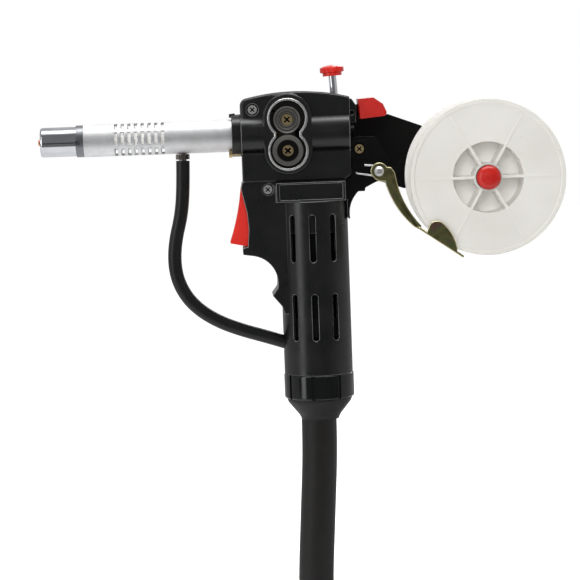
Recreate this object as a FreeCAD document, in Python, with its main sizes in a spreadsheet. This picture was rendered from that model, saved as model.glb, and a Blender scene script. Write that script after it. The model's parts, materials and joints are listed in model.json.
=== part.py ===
import FreeCAD, Part
import math
import os

import Sketcher
from FreeCAD import Placement, Rotation, Vector

# Spool gun: a pistol torch for wire welding that carries its own 100 mm wire spool.
# Lengths are mm. X runs along the barrel towards the spool, Z is up, -Y is the side with the roller window.
# The sketches are drawn about the barrel's axis, and every sub-part is then raised by barrel_height, so that
# the origin of the finished part is the middle of the hand's hold on the grip.

os.makedirs("parts", exist_ok=True)
doc = FreeCAD.newDocument("spool_gun")

SIZES = {
    "barrel_height": 100.0,
    "barrel_radius": 10.4,
    "barrel_bore": 7.5,
    "barrel_front": -146.2,
    "collar_front": -50.9,
    "head_front": -43.3,
    "groove_first": -125.4,
    "groove_pitch": 4.3,
    "groove_width": 2.1,
    "groove_depth": 1.1,
    "nozzle_radius": 9.5,
    "nozzle_end": -174.0,
    "tip_radius": 2.0,
    "conductor_radius": 4.5,
    "nipple_x": -83.1,
    "hose_radius": 4.4,
    "head_half": 18.5,
    "window_half": 14.5,
    "lower_half": 17.2,
    "shell_wall": 2.2,
    "boss_face": 20.6,
    "window_x": -15.2,
    "window_pitch": 20.7,
    "rim_radius": 12.7,
    "rim_wall": 1.3,
    "roller_radius": 10.2,
    "roller_width": 12.0,
    "idler_radius": 8.8,
    "drive_z": -10.7,
    "idler_z": 9.3,
    "shaft_radius": 3.0,
    "running_gap": 0.06,
    "worm_pitch_radius": 4.1,
    "tooth_module": 0.8,
    "wheel_teeth": 25,
    "gear_y": 11.0,
    "arm_pivot_x": 27.6,
    "arm_pivot_z": 12.0,
    "web_half": 12.5,
    "grip_radius": 22.25,
    "grip_top": -43.5,
    "grip_bottom": -156.0,
    "motor_radius": 18.4,
    "nut_radius": 22.7,
    "nut_panels": 8,
    "cone_end": -186.5,
    "cable_radius": 11.5,
    "cable_length": 3000.0,
    "spool_x": 112.0,
    "spool_z": -32.0,
    "spool_radius": 50.0,
    "spool_half": 22.5,
    "drum_radius": 24.2,
    "hub_bore": 8.06,
    "axle_radius": 8.0,
    "brake_x": 42.8,
    "brake_z": -26.0,
    "trigger_x": -40.5,
    "trigger_z": -37.0,
    "sheet_metal": 1.5,
}
sheet = doc.addObject("Spreadsheet::Sheet", "sizes")
for row, (alias, value) in enumerate(SIZES.items(), 1):
    sheet.set("A%d" % row, alias)
    sheet.set("B%d" % row, str(value))
    sheet.setAlias("B%d" % row, alias)
doc.recompute()


class Size:
    """Reads a driving dimension from the sheet, as in size.grip_radius."""

    def __getattr__(self, alias):
        return float(sheet.get(alias))


size = Size()
nodes = []

WORM_X = size.window_x + size.tooth_module * size.wheel_teeth / 2 + size.worm_pitch_radius
BRACKET_SCREWS = [(13.0, -22.0), (3.0, -22.0)]


def keep(item):
    """Marks an object as a finished node, named by its label."""
    nodes.append(item)
    return item


def new_body(label, x="0", z="0"):
    """A body drawn about the barrel axis, moved by x and z, which are expressions."""
    body = doc.addObject("PartDesign::Body", label)
    body.Label = label
    body.setExpression("Placement.Base.x", x)
    body.setExpression("Placement.Base.z", "sizes.barrel_height + " + z)
    return keep(body)


def sketch(body, role, offset=0.0, turn=0.0):
    """A sketch on one of the body's own planes. Turn swings it about the sketch's upright axis."""
    item = body.newObject("Sketcher::SketchObject", body.Name + "_sketch")
    plane = [part for part in body.Origin.OriginFeatures if part.Role == role][0]
    item.AttachmentSupport = [(plane, "")]
    item.MapMode = "FlatFace"
    lift = Placement(Vector(0, 0, offset), Rotation())
    item.AttachmentOffset = Placement(Vector(), Rotation(Vector(0, 1, 0), turn)).multiply(lift)
    return item


def flat(point):
    return Vector(point[0], point[1], 0)


def outline(item, points):
    """Draws a closed outline. A third number rounds that corner, and "via" bends the side through a point."""
    corners = [point for point in points if point[0] != "via"]
    ways = {}
    for place, point in enumerate(points):
        if point[0] == "via":
            ways[points[place - 1]] = Vector(point[1], point[2], 0)
    starts, ends, pieces = {}, {}, []
    for place, corner in enumerate(corners):
        here = flat(corner)
        starts[place] = ends[place] = here
        if len(corner) > 2:
            back = (flat(corners[place - 1]) - here).normalize()
            ahead = (flat(corners[(place + 1) % len(corners)]) - here).normalize()
            half = back.getAngle(ahead) / 2
            reach = corner[2] / math.tan(half)
            middle = (back + ahead).normalize() * (corner[2] / math.sin(half) - corner[2])
            ends[place] = here + back * reach
            starts[place] = here + ahead * reach
            pieces.append(Part.Arc(ends[place], here + middle, starts[place]))
    for place, corner in enumerate(corners):
        start, end = starts[place], ends[(place + 1) % len(corners)]
        if corner in ways:
            pieces.append(Part.Arc(start, ways[corner], end))
        else:
            pieces.append(Part.LineSegment(start, end))
    item.addGeometry(pieces)
    return item


def circle(item, x, y, radius):
    """A circle whose radius is a number or an expression that the sheet drives."""
    driven = isinstance(radius, str)
    start = 5.0 if driven else radius
    number = item.addGeometry(Part.Circle(Vector(x, y, 0), Vector(0, 0, 1), start))
    if driven:
        rule = item.addConstraint(Sketcher.Constraint("Radius", number, start))
        item.setExpression("Constraints[%d]" % rule, radius)
        item.addConstraint(Sketcher.Constraint("DistanceX", -1, 1, number, 3, x))
        item.addConstraint(Sketcher.Constraint("DistanceY", -1, 1, number, 3, y))
    return item


def feature(body, kind, item, amount, how=""):
    """Pads or pockets a sketch. How holds "back" to go the other way, or "both" for half to each side."""
    step = body.newObject("PartDesign::" + kind, body.Name + "_" + kind.lower())
    step.Profile = item
    if how == "both":
        step.SideType = "Symmetric"
    step.Reversed = how == "back"
    if isinstance(amount, str):
        step.setExpression("Length", amount)
    else:
        step.Length = amount
    item.Visibility = False
    return step


def turned(body, points, role="XZ_Plane", axis="H_Axis", kind="Revolution"):
    """Turns an outline of (along, radius) points about an axis of its plane."""
    item = outline(sketch(body, role), points)
    step = body.newObject("PartDesign::" + kind, body.Name + "_turned")
    step.Profile = item
    step.ReferenceAxis = (item, [axis])
    step.Angle = 360
    item.Visibility = False
    return step


def round_face(body, face, radius, keep_out):
    """Rounds the edges that lie in the face y = face, apart from those where keep_out says so."""
    doc.recompute()
    block = body.Tip
    rim = []
    for number, edge in enumerate(block.Shape.Edges, 1):
        in_face = all(abs(vertex.Y - face) < 0.01 for vertex in edge.Vertexes)
        if in_face and not keep_out(edge.CenterOfMass):
            rim.append("Edge%d" % number)
    rounding = body.newObject("PartDesign::Fillet", body.Name + "_rounding")
    rounding.Base = (block, rim)
    rounding.Radius = radius
    doc.recompute()


def ring_of(body, step, count, sketch_item, axis):
    """Repeats a feature evenly about an axis of its sketch."""
    pattern = body.newObject("PartDesign::PolarPattern", body.Name + "_pattern")
    pattern.Originals = [step]
    pattern.Axis = (sketch_item, [axis])
    pattern.Angle = 360
    pattern.Occurrences = count
    body.Tip = pattern
    return pattern


def primitive(kind, label, base, axis, **amounts):
    """A Part primitive at base, its Z along axis, with sizes as numbers or expressions."""
    item = doc.addObject("Part::" + kind, label)
    item.Label = label
    for name, amount in amounts.items():
        if isinstance(amount, str):
            item.setExpression(name, amount)
        else:
            setattr(item, name, amount)
    turn = Rotation(Vector(0, 0, 1), Vector(*axis))
    item.Placement = Placement(Vector(base[0], base[1], base[2] + size.barrel_height), turn)
    item.setExpression("Placement.Base.z", "sizes.barrel_height + %.4f" % base[2])
    return item


def fused(label, items):
    item = doc.addObject("Part::MultiFuse", label)
    item.Shapes = items
    item.Label = label
    return item


def cut(label, base, tool):
    item = doc.addObject("Part::Cut", label)
    item.Base = base
    item.Tool = tool
    item.Label = label
    return item


def cross_screw(label, base, axis, head, depth, shank, length):
    """A screw whose cross-slotted head's outer face is at base, its shank running along axis."""
    name = label + "_part"
    along = Vector(*axis)
    under = Vector(*base) + along * depth
    top = primitive("Cylinder", name, base, axis, Radius=head, Height=depth)
    stem = primitive("Cylinder", name, tuple(under), axis, Radius=shank, Height=length)
    slots = []
    for turn in (45, 135):
        slot = primitive("Box", name, base, axis, Length=head * 1.3, Width=head * 0.26, Height=depth * 0.55)
        aim = Rotation(Vector(0, 0, 1), along).multiply(Rotation(Vector(0, 0, 1), turn))
        corner = Vector(*base) + aim.multVec(Vector(-head * 0.65, -head * 0.13, 0))
        slot.Placement = Placement(corner + Vector(0, 0, size.barrel_height), aim)
        slot.setExpression("Placement.Base.z", "sizes.barrel_height + %.4f" % corner.z)
        slots.append(slot)
    return cut(label, fused(name, [top, stem]), fused(name, slots))


def group(label, items):
    """One node that holds several equal solids."""
    item = doc.addObject("Part::Compound", label)
    item.Links = items
    item.Label = label
    return keep(item)


def drawn(label, shape):
    """A form that no feature makes, such as a swept tube, raised to its place."""
    item = doc.addObject("Part::Feature", label)
    item.Label = label
    item.Shape = shape
    item.setExpression("Placement.Base.z", "sizes.barrel_height + %.6f" % shape.Placement.Base.z)
    return keep(item)


# Barrel: nozzle, tip, diffuser, conductor and the grooved outer tube

def make_nozzle():
    body = new_body("nozzle")
    front, rear = size.nozzle_end, size.barrel_front - 4.9
    r = size.nozzle_radius
    turned(body, [(front, r - 1.6), (front, r - 0.6, 0.5), (front + 1.2, r, 1.0), (rear, r), (rear, 6.4),
                  (rear - 3.0, 6.4), (rear - 3.0, 7.6), (front + 0.8, 7.6)])


def make_nozzle_ring():
    body = new_body("nozzle_ring")
    front, rear = size.barrel_front - 4.8, size.barrel_front - 0.1
    turned(body, [(front, 6.4), (front, 10.25), (rear, 10.25), (rear, 6.4)])
    notch = outline(sketch(body, "XZ_Plane", 8.4), [(front - 1, -2), (front + 3.0, -2), (front + 3.0, 1),
                                                    (front - 1, 1)])
    feature(body, "Pocket", notch, 4.0, "back")


def make_diffuser():
    body = new_body("gas_diffuser")
    front, rear = -160.0, -143.0
    turned(body, [(front, 2.6), (front, 5.4), (front + 4, 6.3), (rear, 6.3), (rear, 4.55),
                  (rear - 9, 4.55), (rear - 9, 2.6)])
    hole = circle(sketch(body, "XY_Plane"), -154.5, 0, 0.9)
    step = feature(body, "Pocket", hole, 8.0, "back")
    ring_of(body, step, 4, hole, "H_Axis")


def make_tip():
    body = new_body("contact_tip")
    end = size.nozzle_end - 1.6
    bore = 0.5
    turned(body, [(end, bore), (end, size.tip_radius - 0.3), (end + 0.6, size.tip_radius),
                  (end + 4, size.tip_radius), (end + 7, 3.9), (-160.1, 3.9), (-160.1, 2.5), (-152.5, 2.5),
                  (-152.5, bore)])


def make_conductor():
    body = new_body("conductor_tube")
    turned(body, [(-151.9, 1.6), (-151.9, size.conductor_radius), (-29.0, size.conductor_radius),
                  (-29.0, 1.6)])


def make_barrel():
    body = new_body("barrel_tube")
    turned(body, [(size.barrel_front, size.barrel_bore), (size.barrel_front, size.barrel_radius, 0.6),
                  (-41.0, size.barrel_radius), (-41.0, size.barrel_bore)])
    floor = size.barrel_radius - size.groove_depth
    half = size.groove_width / 2
    first = size.groove_first
    step = turned(body, [(first - half, floor), (first - half, 11), (first + half, 11),
                         (first + half, floor)], kind="Groove")
    pattern = body.newObject("PartDesign::LinearPattern", "barrel_grooves")
    pattern.Originals = [step]
    pattern.Direction = (step.Profile[0], ["H_Axis"])
    pattern.setExpression("Length", "sizes.groove_pitch * 7")
    pattern.Occurrences = 8
    body.Tip = pattern
    doc.recompute()
    hole = circle(sketch(body, "XY_Plane"), size.nipple_x, 0, 2.55)
    feature(body, "Pocket", hole, 14.0)


def make_bush():
    body = new_body("barrel_insulator")
    turned(body, [(-60.0, 4.55), (-60.0, 7.45), (-42.5, 7.45), (-42.5, 4.55)])


def make_collar():
    body = new_body("clamp_collar")
    front, rear = size.collar_front, size.head_front - 0.1
    turned(body, [(front, size.barrel_radius + 0.02), (front, 13.6, 0.5), (rear, 13.6),
                  (rear, size.barrel_radius + 0.02)])
    lug = outline(sketch(body, "XZ_Plane"), [(front - 1.4, 11.6), (front + 2.5, 11.6), (front + 2.5, 14.4),
                                             (front - 1.4, 14.0)])
    feature(body, "Pad", lug, 5.0, "both")
    hole = circle(sketch(body, "YZ_Plane", front - 0.1), -5.4, -11.7, 1.05)
    feature(body, "Pocket", hole, 6.0, "back")


def make_nipple():
    body = new_body("gas_nipple", x="sizes.nipple_x")
    wall = -size.barrel_radius
    turned(body, [(1.2, wall + 2.9), (2.5, wall + 2.9), (2.5, wall - 0.3), (4.2, wall - 0.3),
                  (4.2, wall - 3.7), (2.4, wall - 3.7), (2.4, -17.0), (2.9, -18.2), (2.3, -21.0),
                  (2.9, -22.2), (2.3, -25.0), (1.2, -25.0)], axis="V_Axis")
    hexagon = sketch(body, "XY_Plane", wall - 3.7)
    across = 4.5
    corners = [(across * math.cos(math.radians(60 * turn)),
                across * math.sin(math.radians(60 * turn))) for turn in range(6)]
    outline(hexagon, corners)
    feature(body, "Pad", hexagon, 3.0)
    bore = circle(sketch(body, "XY_Plane", wall - 4.0), 0, 0, 1.2)
    feature(body, "Pocket", bore, 4.0, "back")


# Head: two shells around the roller frame

def head_outline():
    return [(-45.0, -30.1), (-28.6, -30.1), (-24.6, -33.4), (-23.9, -43.3, 1.0), (20.5, -43.3, 1.0),
            (20.5, -31.0), (24.8, -27.0), (25.3, 22.8), ("via", -7.0, 27.2), (-36.0, 24.6),
            (-45.0, 22.8, 5.0)]


def head_cavity():
    return [(-42.7, -27.8), (-21.7, -27.8), (-21.7, -44.0), (18.3, -44.0), (18.3, -29.6), (22.6, -26.0),
            (23.0, 20.6), ("via", -7.0, 25.0), (-35.8, 22.4), (-42.7, 21.0, 3.0)]


def stadium(item, x, z, radius):
    """A shape of two half circles above each other, centred on x and z."""
    half = size.window_pitch / 2
    return outline(item, [(x + radius, z - half), (x + radius, z + half), ("via", x, z + half + radius),
                          (x - radius, z + half), (x - radius, z - half), ("via", x, z - half - radius)])


def eight(item, x, radius, waist):
    """The roller window's outline: two circles joined by a waist."""
    half = size.window_pitch / 2
    rise = half - math.sqrt(radius ** 2 - waist ** 2)
    return outline(item, [(x + waist, -rise), (x + waist, rise), ("via", x, half + radius),
                          (x - waist, rise), (x - waist, -rise), ("via", x, -half - radius)])


def make_head_shell(side):
    """Side is -1 for the window side and 1 for the other."""
    window = side < 0
    body = new_body("head_shell_left" if window else "head_shell_right")
    out = "" if window else "back"
    inward = "back" if window else ""
    face = "sizes.window_half" if window else "sizes.head_half"
    half = size.window_half if window else size.head_half
    feature(body, "Pad", outline(sketch(body, "XZ_Plane"), head_outline()), face, out)
    round_face(body, side * half, 2.2, lambda middle: middle.z < -29 or middle.x > 24)
    if window:
        lower = outline(sketch(body, "XZ_Plane"), [(-45.0, -30.1), (20.5, -30.1), (24.8, -27.0),
                                                   (24.96, -11.0), (-45.0, -11.0)])
        feature(body, "Pad", lower, "sizes.lower_half")
        round_face(body, -size.lower_half, 1.4, lambda middle: False)
        feature(body, "Pad", stadium(sketch(body, "XZ_Plane"), size.window_x, 0.2, 15.6), "sizes.boss_face")
        round_face(body, -size.boss_face, 1.6, lambda middle: False)
    for start, end in ((-45.0, -29.5), (-6.0, 24.6)):
        bulge = outline(sketch(body, "YZ_Plane", start),
                        [(side * 7.7, -12.7), ("via", side * 20.4, 0.0), (side * 7.7, 12.7)])
        feature(body, "Pad", bulge, end - start)
    panel = outline(sketch(body, "XZ_Plane"), [(-23.9, -43.3), (20.5, -43.3), (20.5, -31.0), (-23.9, -31.0)])
    feature(body, "Pad", panel, "sizes.boss_face", out)
    recess = outline(sketch(body, "XZ_Plane", -side * size.boss_face),
                     [(-21.6, -42.0, 0.6), (18.6, -42.0, 0.6), (18.6, -32.2, 0.6), (-21.6, -32.2, 0.6)])
    feature(body, "Pocket", recess, 0.8, "" if window else "back")
    doc.recompute()
    feature(body, "Pocket", outline(sketch(body, "XZ_Plane"), head_cavity()), face + " - sizes.shell_wall",
            inward)
    posts = sketch(body, "XZ_Plane")
    circle(posts, -37.2, 16.4, 3.8)
    feature(body, "Pad", posts, face + " - 1", out)
    if window:
        opening = eight(sketch(body, "XZ_Plane"), size.window_x, size.rim_radius + 0.02, 8.72)
        feature(body, "Pocket", opening, 25.0, inward)
        feature(body, "Pocket", circle(sketch(body, "XZ_Plane", half), -37.2, 16.4, 3.8), 1.4)
        feature(body, "Pocket", circle(sketch(body, "XZ_Plane"), -37.2, 16.4, 1.6), 25.0, inward)
    else:
        feature(body, "Pocket", circle(sketch(body, "XZ_Plane"), -37.2, 16.4, 1.3), 12.0, inward)
    barrel_hole = circle(sketch(body, "YZ_Plane", -50.0), 0, 0, "sizes.barrel_radius + 0.02")
    feature(body, "Pocket", barrel_hole, 8.0, "back")
    collar_seat = circle(sketch(body, "YZ_Plane", -50.0), 0, 0, 13.7)
    feature(body, "Pocket", collar_seat, "50 + sizes.head_front", "back")
    guide_hole = circle(sketch(body, "YZ_Plane", 20.0), 0, 0, 3.02)
    feature(body, "Pocket", guide_hole, 8.0, "back")
    if not window:
        screw_holes = sketch(body, "YZ_Plane", 20.0)
        for y, z in BRACKET_SCREWS:
            circle(screw_holes, y, z, 1.9)
        feature(body, "Pocket", screw_holes, 6.0, "back")
        ear_outline = [(24.0, 5.0), (30.0, 5.6, 1.0), (30.6, 16.5, 2.0), (27.6, 21.1, 1.0), (24.0, 21.5)]
        for near, far in ((4.6, 8.2), (14.4, 17.4)):
            ear = outline(sketch(body, "XZ_Plane", -near), ear_outline)
            feature(body, "Pad", ear, far - near, "back")
        pin = circle(sketch(body, "XZ_Plane"), size.arm_pivot_x, size.arm_pivot_z, 1.5)
        feature(body, "Pocket", pin, 17.0)
        way = outline(sketch(body, "YZ_Plane", 21.0), [(8.4, 7.6), (14.2, 7.6), (14.2, 19.4), (8.4, 19.4)])
        feature(body, "Pocket", way, 6.0, "back")
        slot = outline(sketch(body, "XY_Plane", 19.0), [(12.6, 8.2, 1.5), (21.0, 8.2, 1.5),
                                                        (21.0, 14.4, 1.5), (12.6, 14.4, 1.5)])
        feature(body, "Pocket", slot, 9.0, "back")


def make_frame():
    """Cast frame: the bright figure-eight sleeve, the plate behind the rollers and the conductor's socket."""
    body = new_body("feeder_frame")
    x = size.window_x
    outer = sketch(body, "XZ_Plane", -8.4)
    stadium(outer, x, 0, 12.7)
    feature(body, "Pad", outer, 4.8)
    sleeve = sketch(body, "XZ_Plane", -4.0)
    eight(sleeve, x, size.rim_radius, 8.7)
    eight(sleeve, x, size.rim_radius - size.rim_wall, 7.4)
    feature(body, "Pad", sleeve, 24.9)
    block = outline(sketch(body, "XZ_Plane"), [(-41.0, -7.5), (-26.8, -7.5), (-26.8, 7.5), (-41.0, 7.5)])
    feature(body, "Pad", block, 15.0, "both")
    doc.recompute()
    feature(body, "Pocket", circle(sketch(body, "YZ_Plane", -42), 0, 0, "sizes.conductor_radius + 0.02"),
            13.1, "back")
    feature(body, "Pocket", circle(sketch(body, "YZ_Plane", -30), 0, 0, 2.02), 9.0, "back")
    feature(body, "Pocket", circle(sketch(body, "YZ_Plane", -12), 0, 0, 3.02), 10.0, "back")
    feature(body, "Pocket", circle(sketch(body, "XZ_Plane"), x, size.idler_z + 1.4, 6.0), 9.0)
    feature(body, "Pocket", circle(sketch(body, "XZ_Plane"), x, size.drive_z, 4.5), 9.0)
    feature(body, "Pocket", circle(sketch(body, "XY_Plane", -24.0), WORM_X, size.gear_y, 5.5), 27.0, "back")


def make_guides():
    outlet = new_body("wire_outlet_guide")
    turned(outlet, [(-28.9, 0.7), (-28.9, 2.0), (-22.6, 2.0), (-20.4, 1.0), (-20.4, 0.7)])
    inlet = new_body("wire_inlet_guide")
    turned(inlet, [(-9.8, 0.7), (-9.8, 1.1), (-7.4, 3.0), (26.2, 3.0), (26.2, 4.2), (28.4, 4.2),
                   (28.4, 2.0), (25.0, 0.7)])


# Rollers, worm drive and pressure arm

def roller(label, z, radius, face):
    """A grooved roller about Y, whose near face carries the turned outline face."""
    body = new_body(label, x="sizes.window_x", z=z)
    front, rear = -9.0, size.roller_width - 9.0
    bore = size.shaft_radius + size.running_gap
    rim = [(rear, bore), (rear, radius, 0.4)]
    for middle in (0.0, front + 3.0):
        rim += [(middle + 0.6, radius), (middle, radius - 0.5), (middle - 0.6, radius)]
    turned(body, rim + [(front, radius, 0.4)] + face + [(front, bore)], role="YZ_Plane")


def make_rollers():
    y = -9.0
    roller("drive_roller", "sizes.drive_z", size.roller_radius,
           [(y, 6.9), (y + 1.5, 6.9), (y + 1.5, 3.9), (y, 3.9)])
    roller("idler_roller", "sizes.idler_z", size.idler_radius,
           [(y, 7.4), (y + 0.5, 7.2), (y + 0.5, 6.0), (y, 5.8), (y, 5.0), (y + 0.5, 4.8), (y + 0.5, 4.2),
            (y, 4.0)])
    keep(cross_screw("drive_roller_screw", (size.window_x, -11.2, size.drive_z), (0, 1, 0), 3.7, 2.1, 1.5,
                     5.0))
    keep(cross_screw("idler_screw", (size.window_x, -10.9, size.idler_z), (0, 1, 0), 3.7, 1.6, 1.5, 5.0))
    shaft = new_body("drive_shaft", x="sizes.window_x", z="sizes.drive_z")
    turned(shaft, [(-9.05, 1.52), (-9.05, size.shaft_radius), (15.9, size.shaft_radius), (15.9, 0.0),
                   (-3.6, 0.0), (-3.6, 1.52)], role="YZ_Plane")
    pin = new_body("idler_pin", x="sizes.window_x", z="sizes.idler_z")
    turned(pin, [(-9.3, 1.52), (-9.3, size.shaft_radius), (14.0, size.shaft_radius), (14.0, 0.0),
                 (-4.2, 0.0), (-4.2, 1.52)], role="YZ_Plane")
    bush = new_body("shaft_bush", x="sizes.window_x", z="sizes.drive_z")
    bore = size.shaft_radius + size.running_gap
    turned(bush, [(3.7, bore), (3.7, 4.48), (8.6, 4.48), (8.6, bore)], role="YZ_Plane")


def make_worm_wheel():
    body = new_body("worm_wheel", x="sizes.window_x", z="sizes.drive_z")
    module, teeth = size.tooth_module, int(size.wheel_teeth)
    pitch = module * teeth / 2
    root, crest = pitch - 1.2 * module, pitch + module * 0.95
    blank = sketch(body, "XZ_Plane", -size.gear_y - 2.0)
    circle(blank, 0, 0, root)
    circle(blank, 0, 0, size.shaft_radius + 0.01)
    feature(body, "Pad", blank, 4.0)
    tooth = sketch(body, "XZ_Plane", -size.gear_y - 2.0)
    outline(tooth, [(root - 0.3, -0.72), (pitch, -0.42), (crest, -0.2), (crest, 0.2), (pitch, 0.42),
                    (root - 0.3, 0.72)])
    step = feature(body, "Pad", tooth, 4.0)
    ring_of(body, step, teeth, tooth, "N_Axis")


def make_worm():
    """The gearbox's output shaft with a one-start worm thread, its screw thread swept along a helix."""
    module = size.tooth_module
    lead = math.pi * module
    reach = size.worm_pitch_radius
    root, crest = reach - 1.15 * module, reach + module * 0.95
    low = size.drive_z - 2.5 * lead
    helix = Part.makeHelix(lead, 5 * lead, reach, 0)
    corners = [(root - 0.4, -0.62), (reach, -0.36), (crest, -0.14), (crest, 0.14), (reach, 0.36),
               (root - 0.4, 0.62)]
    profile = Part.makePolygon([Vector(a, 0, b) for a, b in corners + corners[:1]])
    thread = Part.Wire(helix).makePipeShell([profile], True, True)
    spindle = Part.makeCylinder(root, 5 * lead + 2, Vector(0, 0, -1))
    shaft = Part.makeCylinder(2.0, 5 * lead + 33.6, Vector(0, 0, -31.0))
    worm = spindle.fuse([shaft, thread]).removeSplitter()
    worm.rotate(Vector(), Vector(0, 0, 1), 180)
    worm.translate(Vector(WORM_X, size.gear_y, low))
    drawn("worm_shaft", worm)


def make_arm():
    body = new_body("pressure_arm")
    plate = sketch(body, "XZ_Plane", -14.0)
    outline(plate, [(-21.4, 4.0, 3.0), (-4.0, 4.4), (14.0, 8.2), (24.0, 8.6), (31.0, 9.6),
                    (44.0, 12.4, 1.0), (43.0, 16.6, 1.0), (31.0, 17.2), (25.0, 17.0), (20.0, 14.4),
                    (10.0, 13.4), (-10.0, 15.6), (-21.4, 15.6, 4.0)])
    feature(body, "Pad", plate, 5.2)
    doc.recompute()
    feature(body, "Pocket",
            circle(sketch(body, "XZ_Plane"), size.window_x, size.idler_z, "sizes.shaft_radius + 0.01"),
            15.0)
    pivot = circle(sketch(body, "XZ_Plane"), size.arm_pivot_x, size.arm_pivot_z, 1.55)
    feature(body, "Pocket", pivot, 15.0)
    rod = outline(sketch(body, "XY_Plane", 5.0), [(15.0, 9.4), (20.0, 9.4), (20.0, 13.4), (15.0, 13.4)])
    feature(body, "Pocket", rod, 14.0, "back")
    pin = primitive("Cylinder", "arm_pivot_pin", (size.arm_pivot_x, 4.8, size.arm_pivot_z), (0, 1, 0),
                    Radius=1.5, Height=12.0)
    keep(pin)


def make_thumb_lever():
    body = new_body("thumb_lever")
    side = sketch(body, "XZ_Plane", -14.8)
    outline(side, [(32.3, 7.8), (48.6, 9.3, 1.0), (49.6, 11.6), (47.2, 17.0), (41.2, 21.4, 1.0),
                   (31.2, 20.7)])
    feature(body, "Pad", side, 21.0)
    doc.recompute()
    pocket = outline(sketch(body, "XZ_Plane", -14.0), [(30.0, 9.4), (31.0, 9.6), (44.0, 12.4),
                                                       (43.0, 16.6), (31.0, 17.2), (30.0, 17.2)])
    feature(body, "Pocket", pocket, 5.2, "back")


ROD_TOP = Vector(15.95, 11.4, 37.0)
ROD_LEAN = math.radians(3.5)


def make_tension():
    """The chrome rod leans back by ROD_LEAN. Its knob, collar, spring and swivel nut all sit on its axis."""
    down = Vector(math.sin(ROD_LEAN), 0, -math.cos(ROD_LEAN))
    turn = Rotation(Vector(0, 0, -1), down)

    def on_rod(shape):
        """Shapes are drawn below a rod top at the origin, then leaned and moved to the rod."""
        shape.Placement = Placement(ROD_TOP, turn).multiply(shape.Placement)
        return shape

    def lathe(points):
        wire = Part.makePolygon([Vector(radius, 0, along) for radius, along in points + points[:1]])
        return Part.Face(wire).revolve(Vector(), Vector(0, 0, 1), 360)

    drawn("tension_rod", on_rod(lathe([(0, 0), (2.5, 0), (2.5, -15.2), (3.0, -15.2), (3.0, -16.2),
                                       (1.5, -16.2), (1.5, -35.6), (0, -35.6)])))
    knob = lathe([(0, 0.05), (2.6, 0.05), (2.6, -0.8), (6.2, -0.8), (6.2, 1.2), (7.8, 1.6), (7.8, 4.6),
                  (5.4, 5.6), (0, 6.4)])
    flute = Part.makeCylinder(1.5, 4, Vector(8.6, 0, 1.3))
    flutes = []
    for number in range(6):
        one = flute.copy()
        one.rotate(Vector(), Vector(0, 0, 1), 60 * number)
        flutes.append(one)
    drawn("tension_knob", on_rod(knob.cut(flutes)))
    drawn("spring_seat", on_rod(lathe([(1.7, -16.3), (4.6, -16.3), (4.6, -17.1), (1.7, -17.1)])))
    wire = 0.45
    helix = Part.makeHelix(1.1, 3.3, 3.4, 0)
    section = Part.Wire(Part.makeCircle(wire, Vector(3.4, 0, 0), Vector(0, 1, 0)))
    coil = Part.Wire(helix).makePipeShell([section], True, True)
    coil.translate(Vector(0, 0, -21.1))
    drawn("tension_spring", on_rod(coil))
    side = 1 if turn.multVec(Vector(0, 1, 0)).y > 0 else -1
    nut = Part.makeBox(6, 6, 4.0, Vector(-3, -3, -35.4))
    pivot = Part.makeCylinder(1.8, 4.85, Vector(0, 0, -33.4), Vector(0, side, 0))
    drawn("swivel_nut", on_rod(nut.fuse(pivot).cut(Part.makeCylinder(1.56, 10, Vector(0, 0, -40)))))


# Grip: two half shells, motor, gearbox, trigger and switch

def web_outline():
    return [(-45.6, -30.3), (-46.3, -34.2), (-42.9, -50.6), (-42.3, -60.4), (-43.2, -71.6),
            (-46.6, -72.5, 0.8), (-46.6, -76.6, 0.8), (-39.1, -77.8), ("via", -26.6, -87.4),
            (-25.0, -99.0), (-28.5, -103.7), (-22.6, -111.0), (-21.0, -116.0), (-10.0, -116.0),
            (-10.0, -43.5), (-24.1, -43.5), (-24.8, -33.6), (-28.8, -30.3)]


def web_cavity():
    return [(-43.4, -32.5), (-43.8, -34.6), (-40.6, -50.6), (-40.0, -60.4), (-40.6, -74.3), (-38.0, -75.2),
            ("via", -28.0, -80.2), (-21.4, -92.0), (-21.0, -110.0), (-9.0, -110.0), (-9.0, -45.8),
            (-26.3, -45.8), (-26.3, -32.5)]


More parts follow.
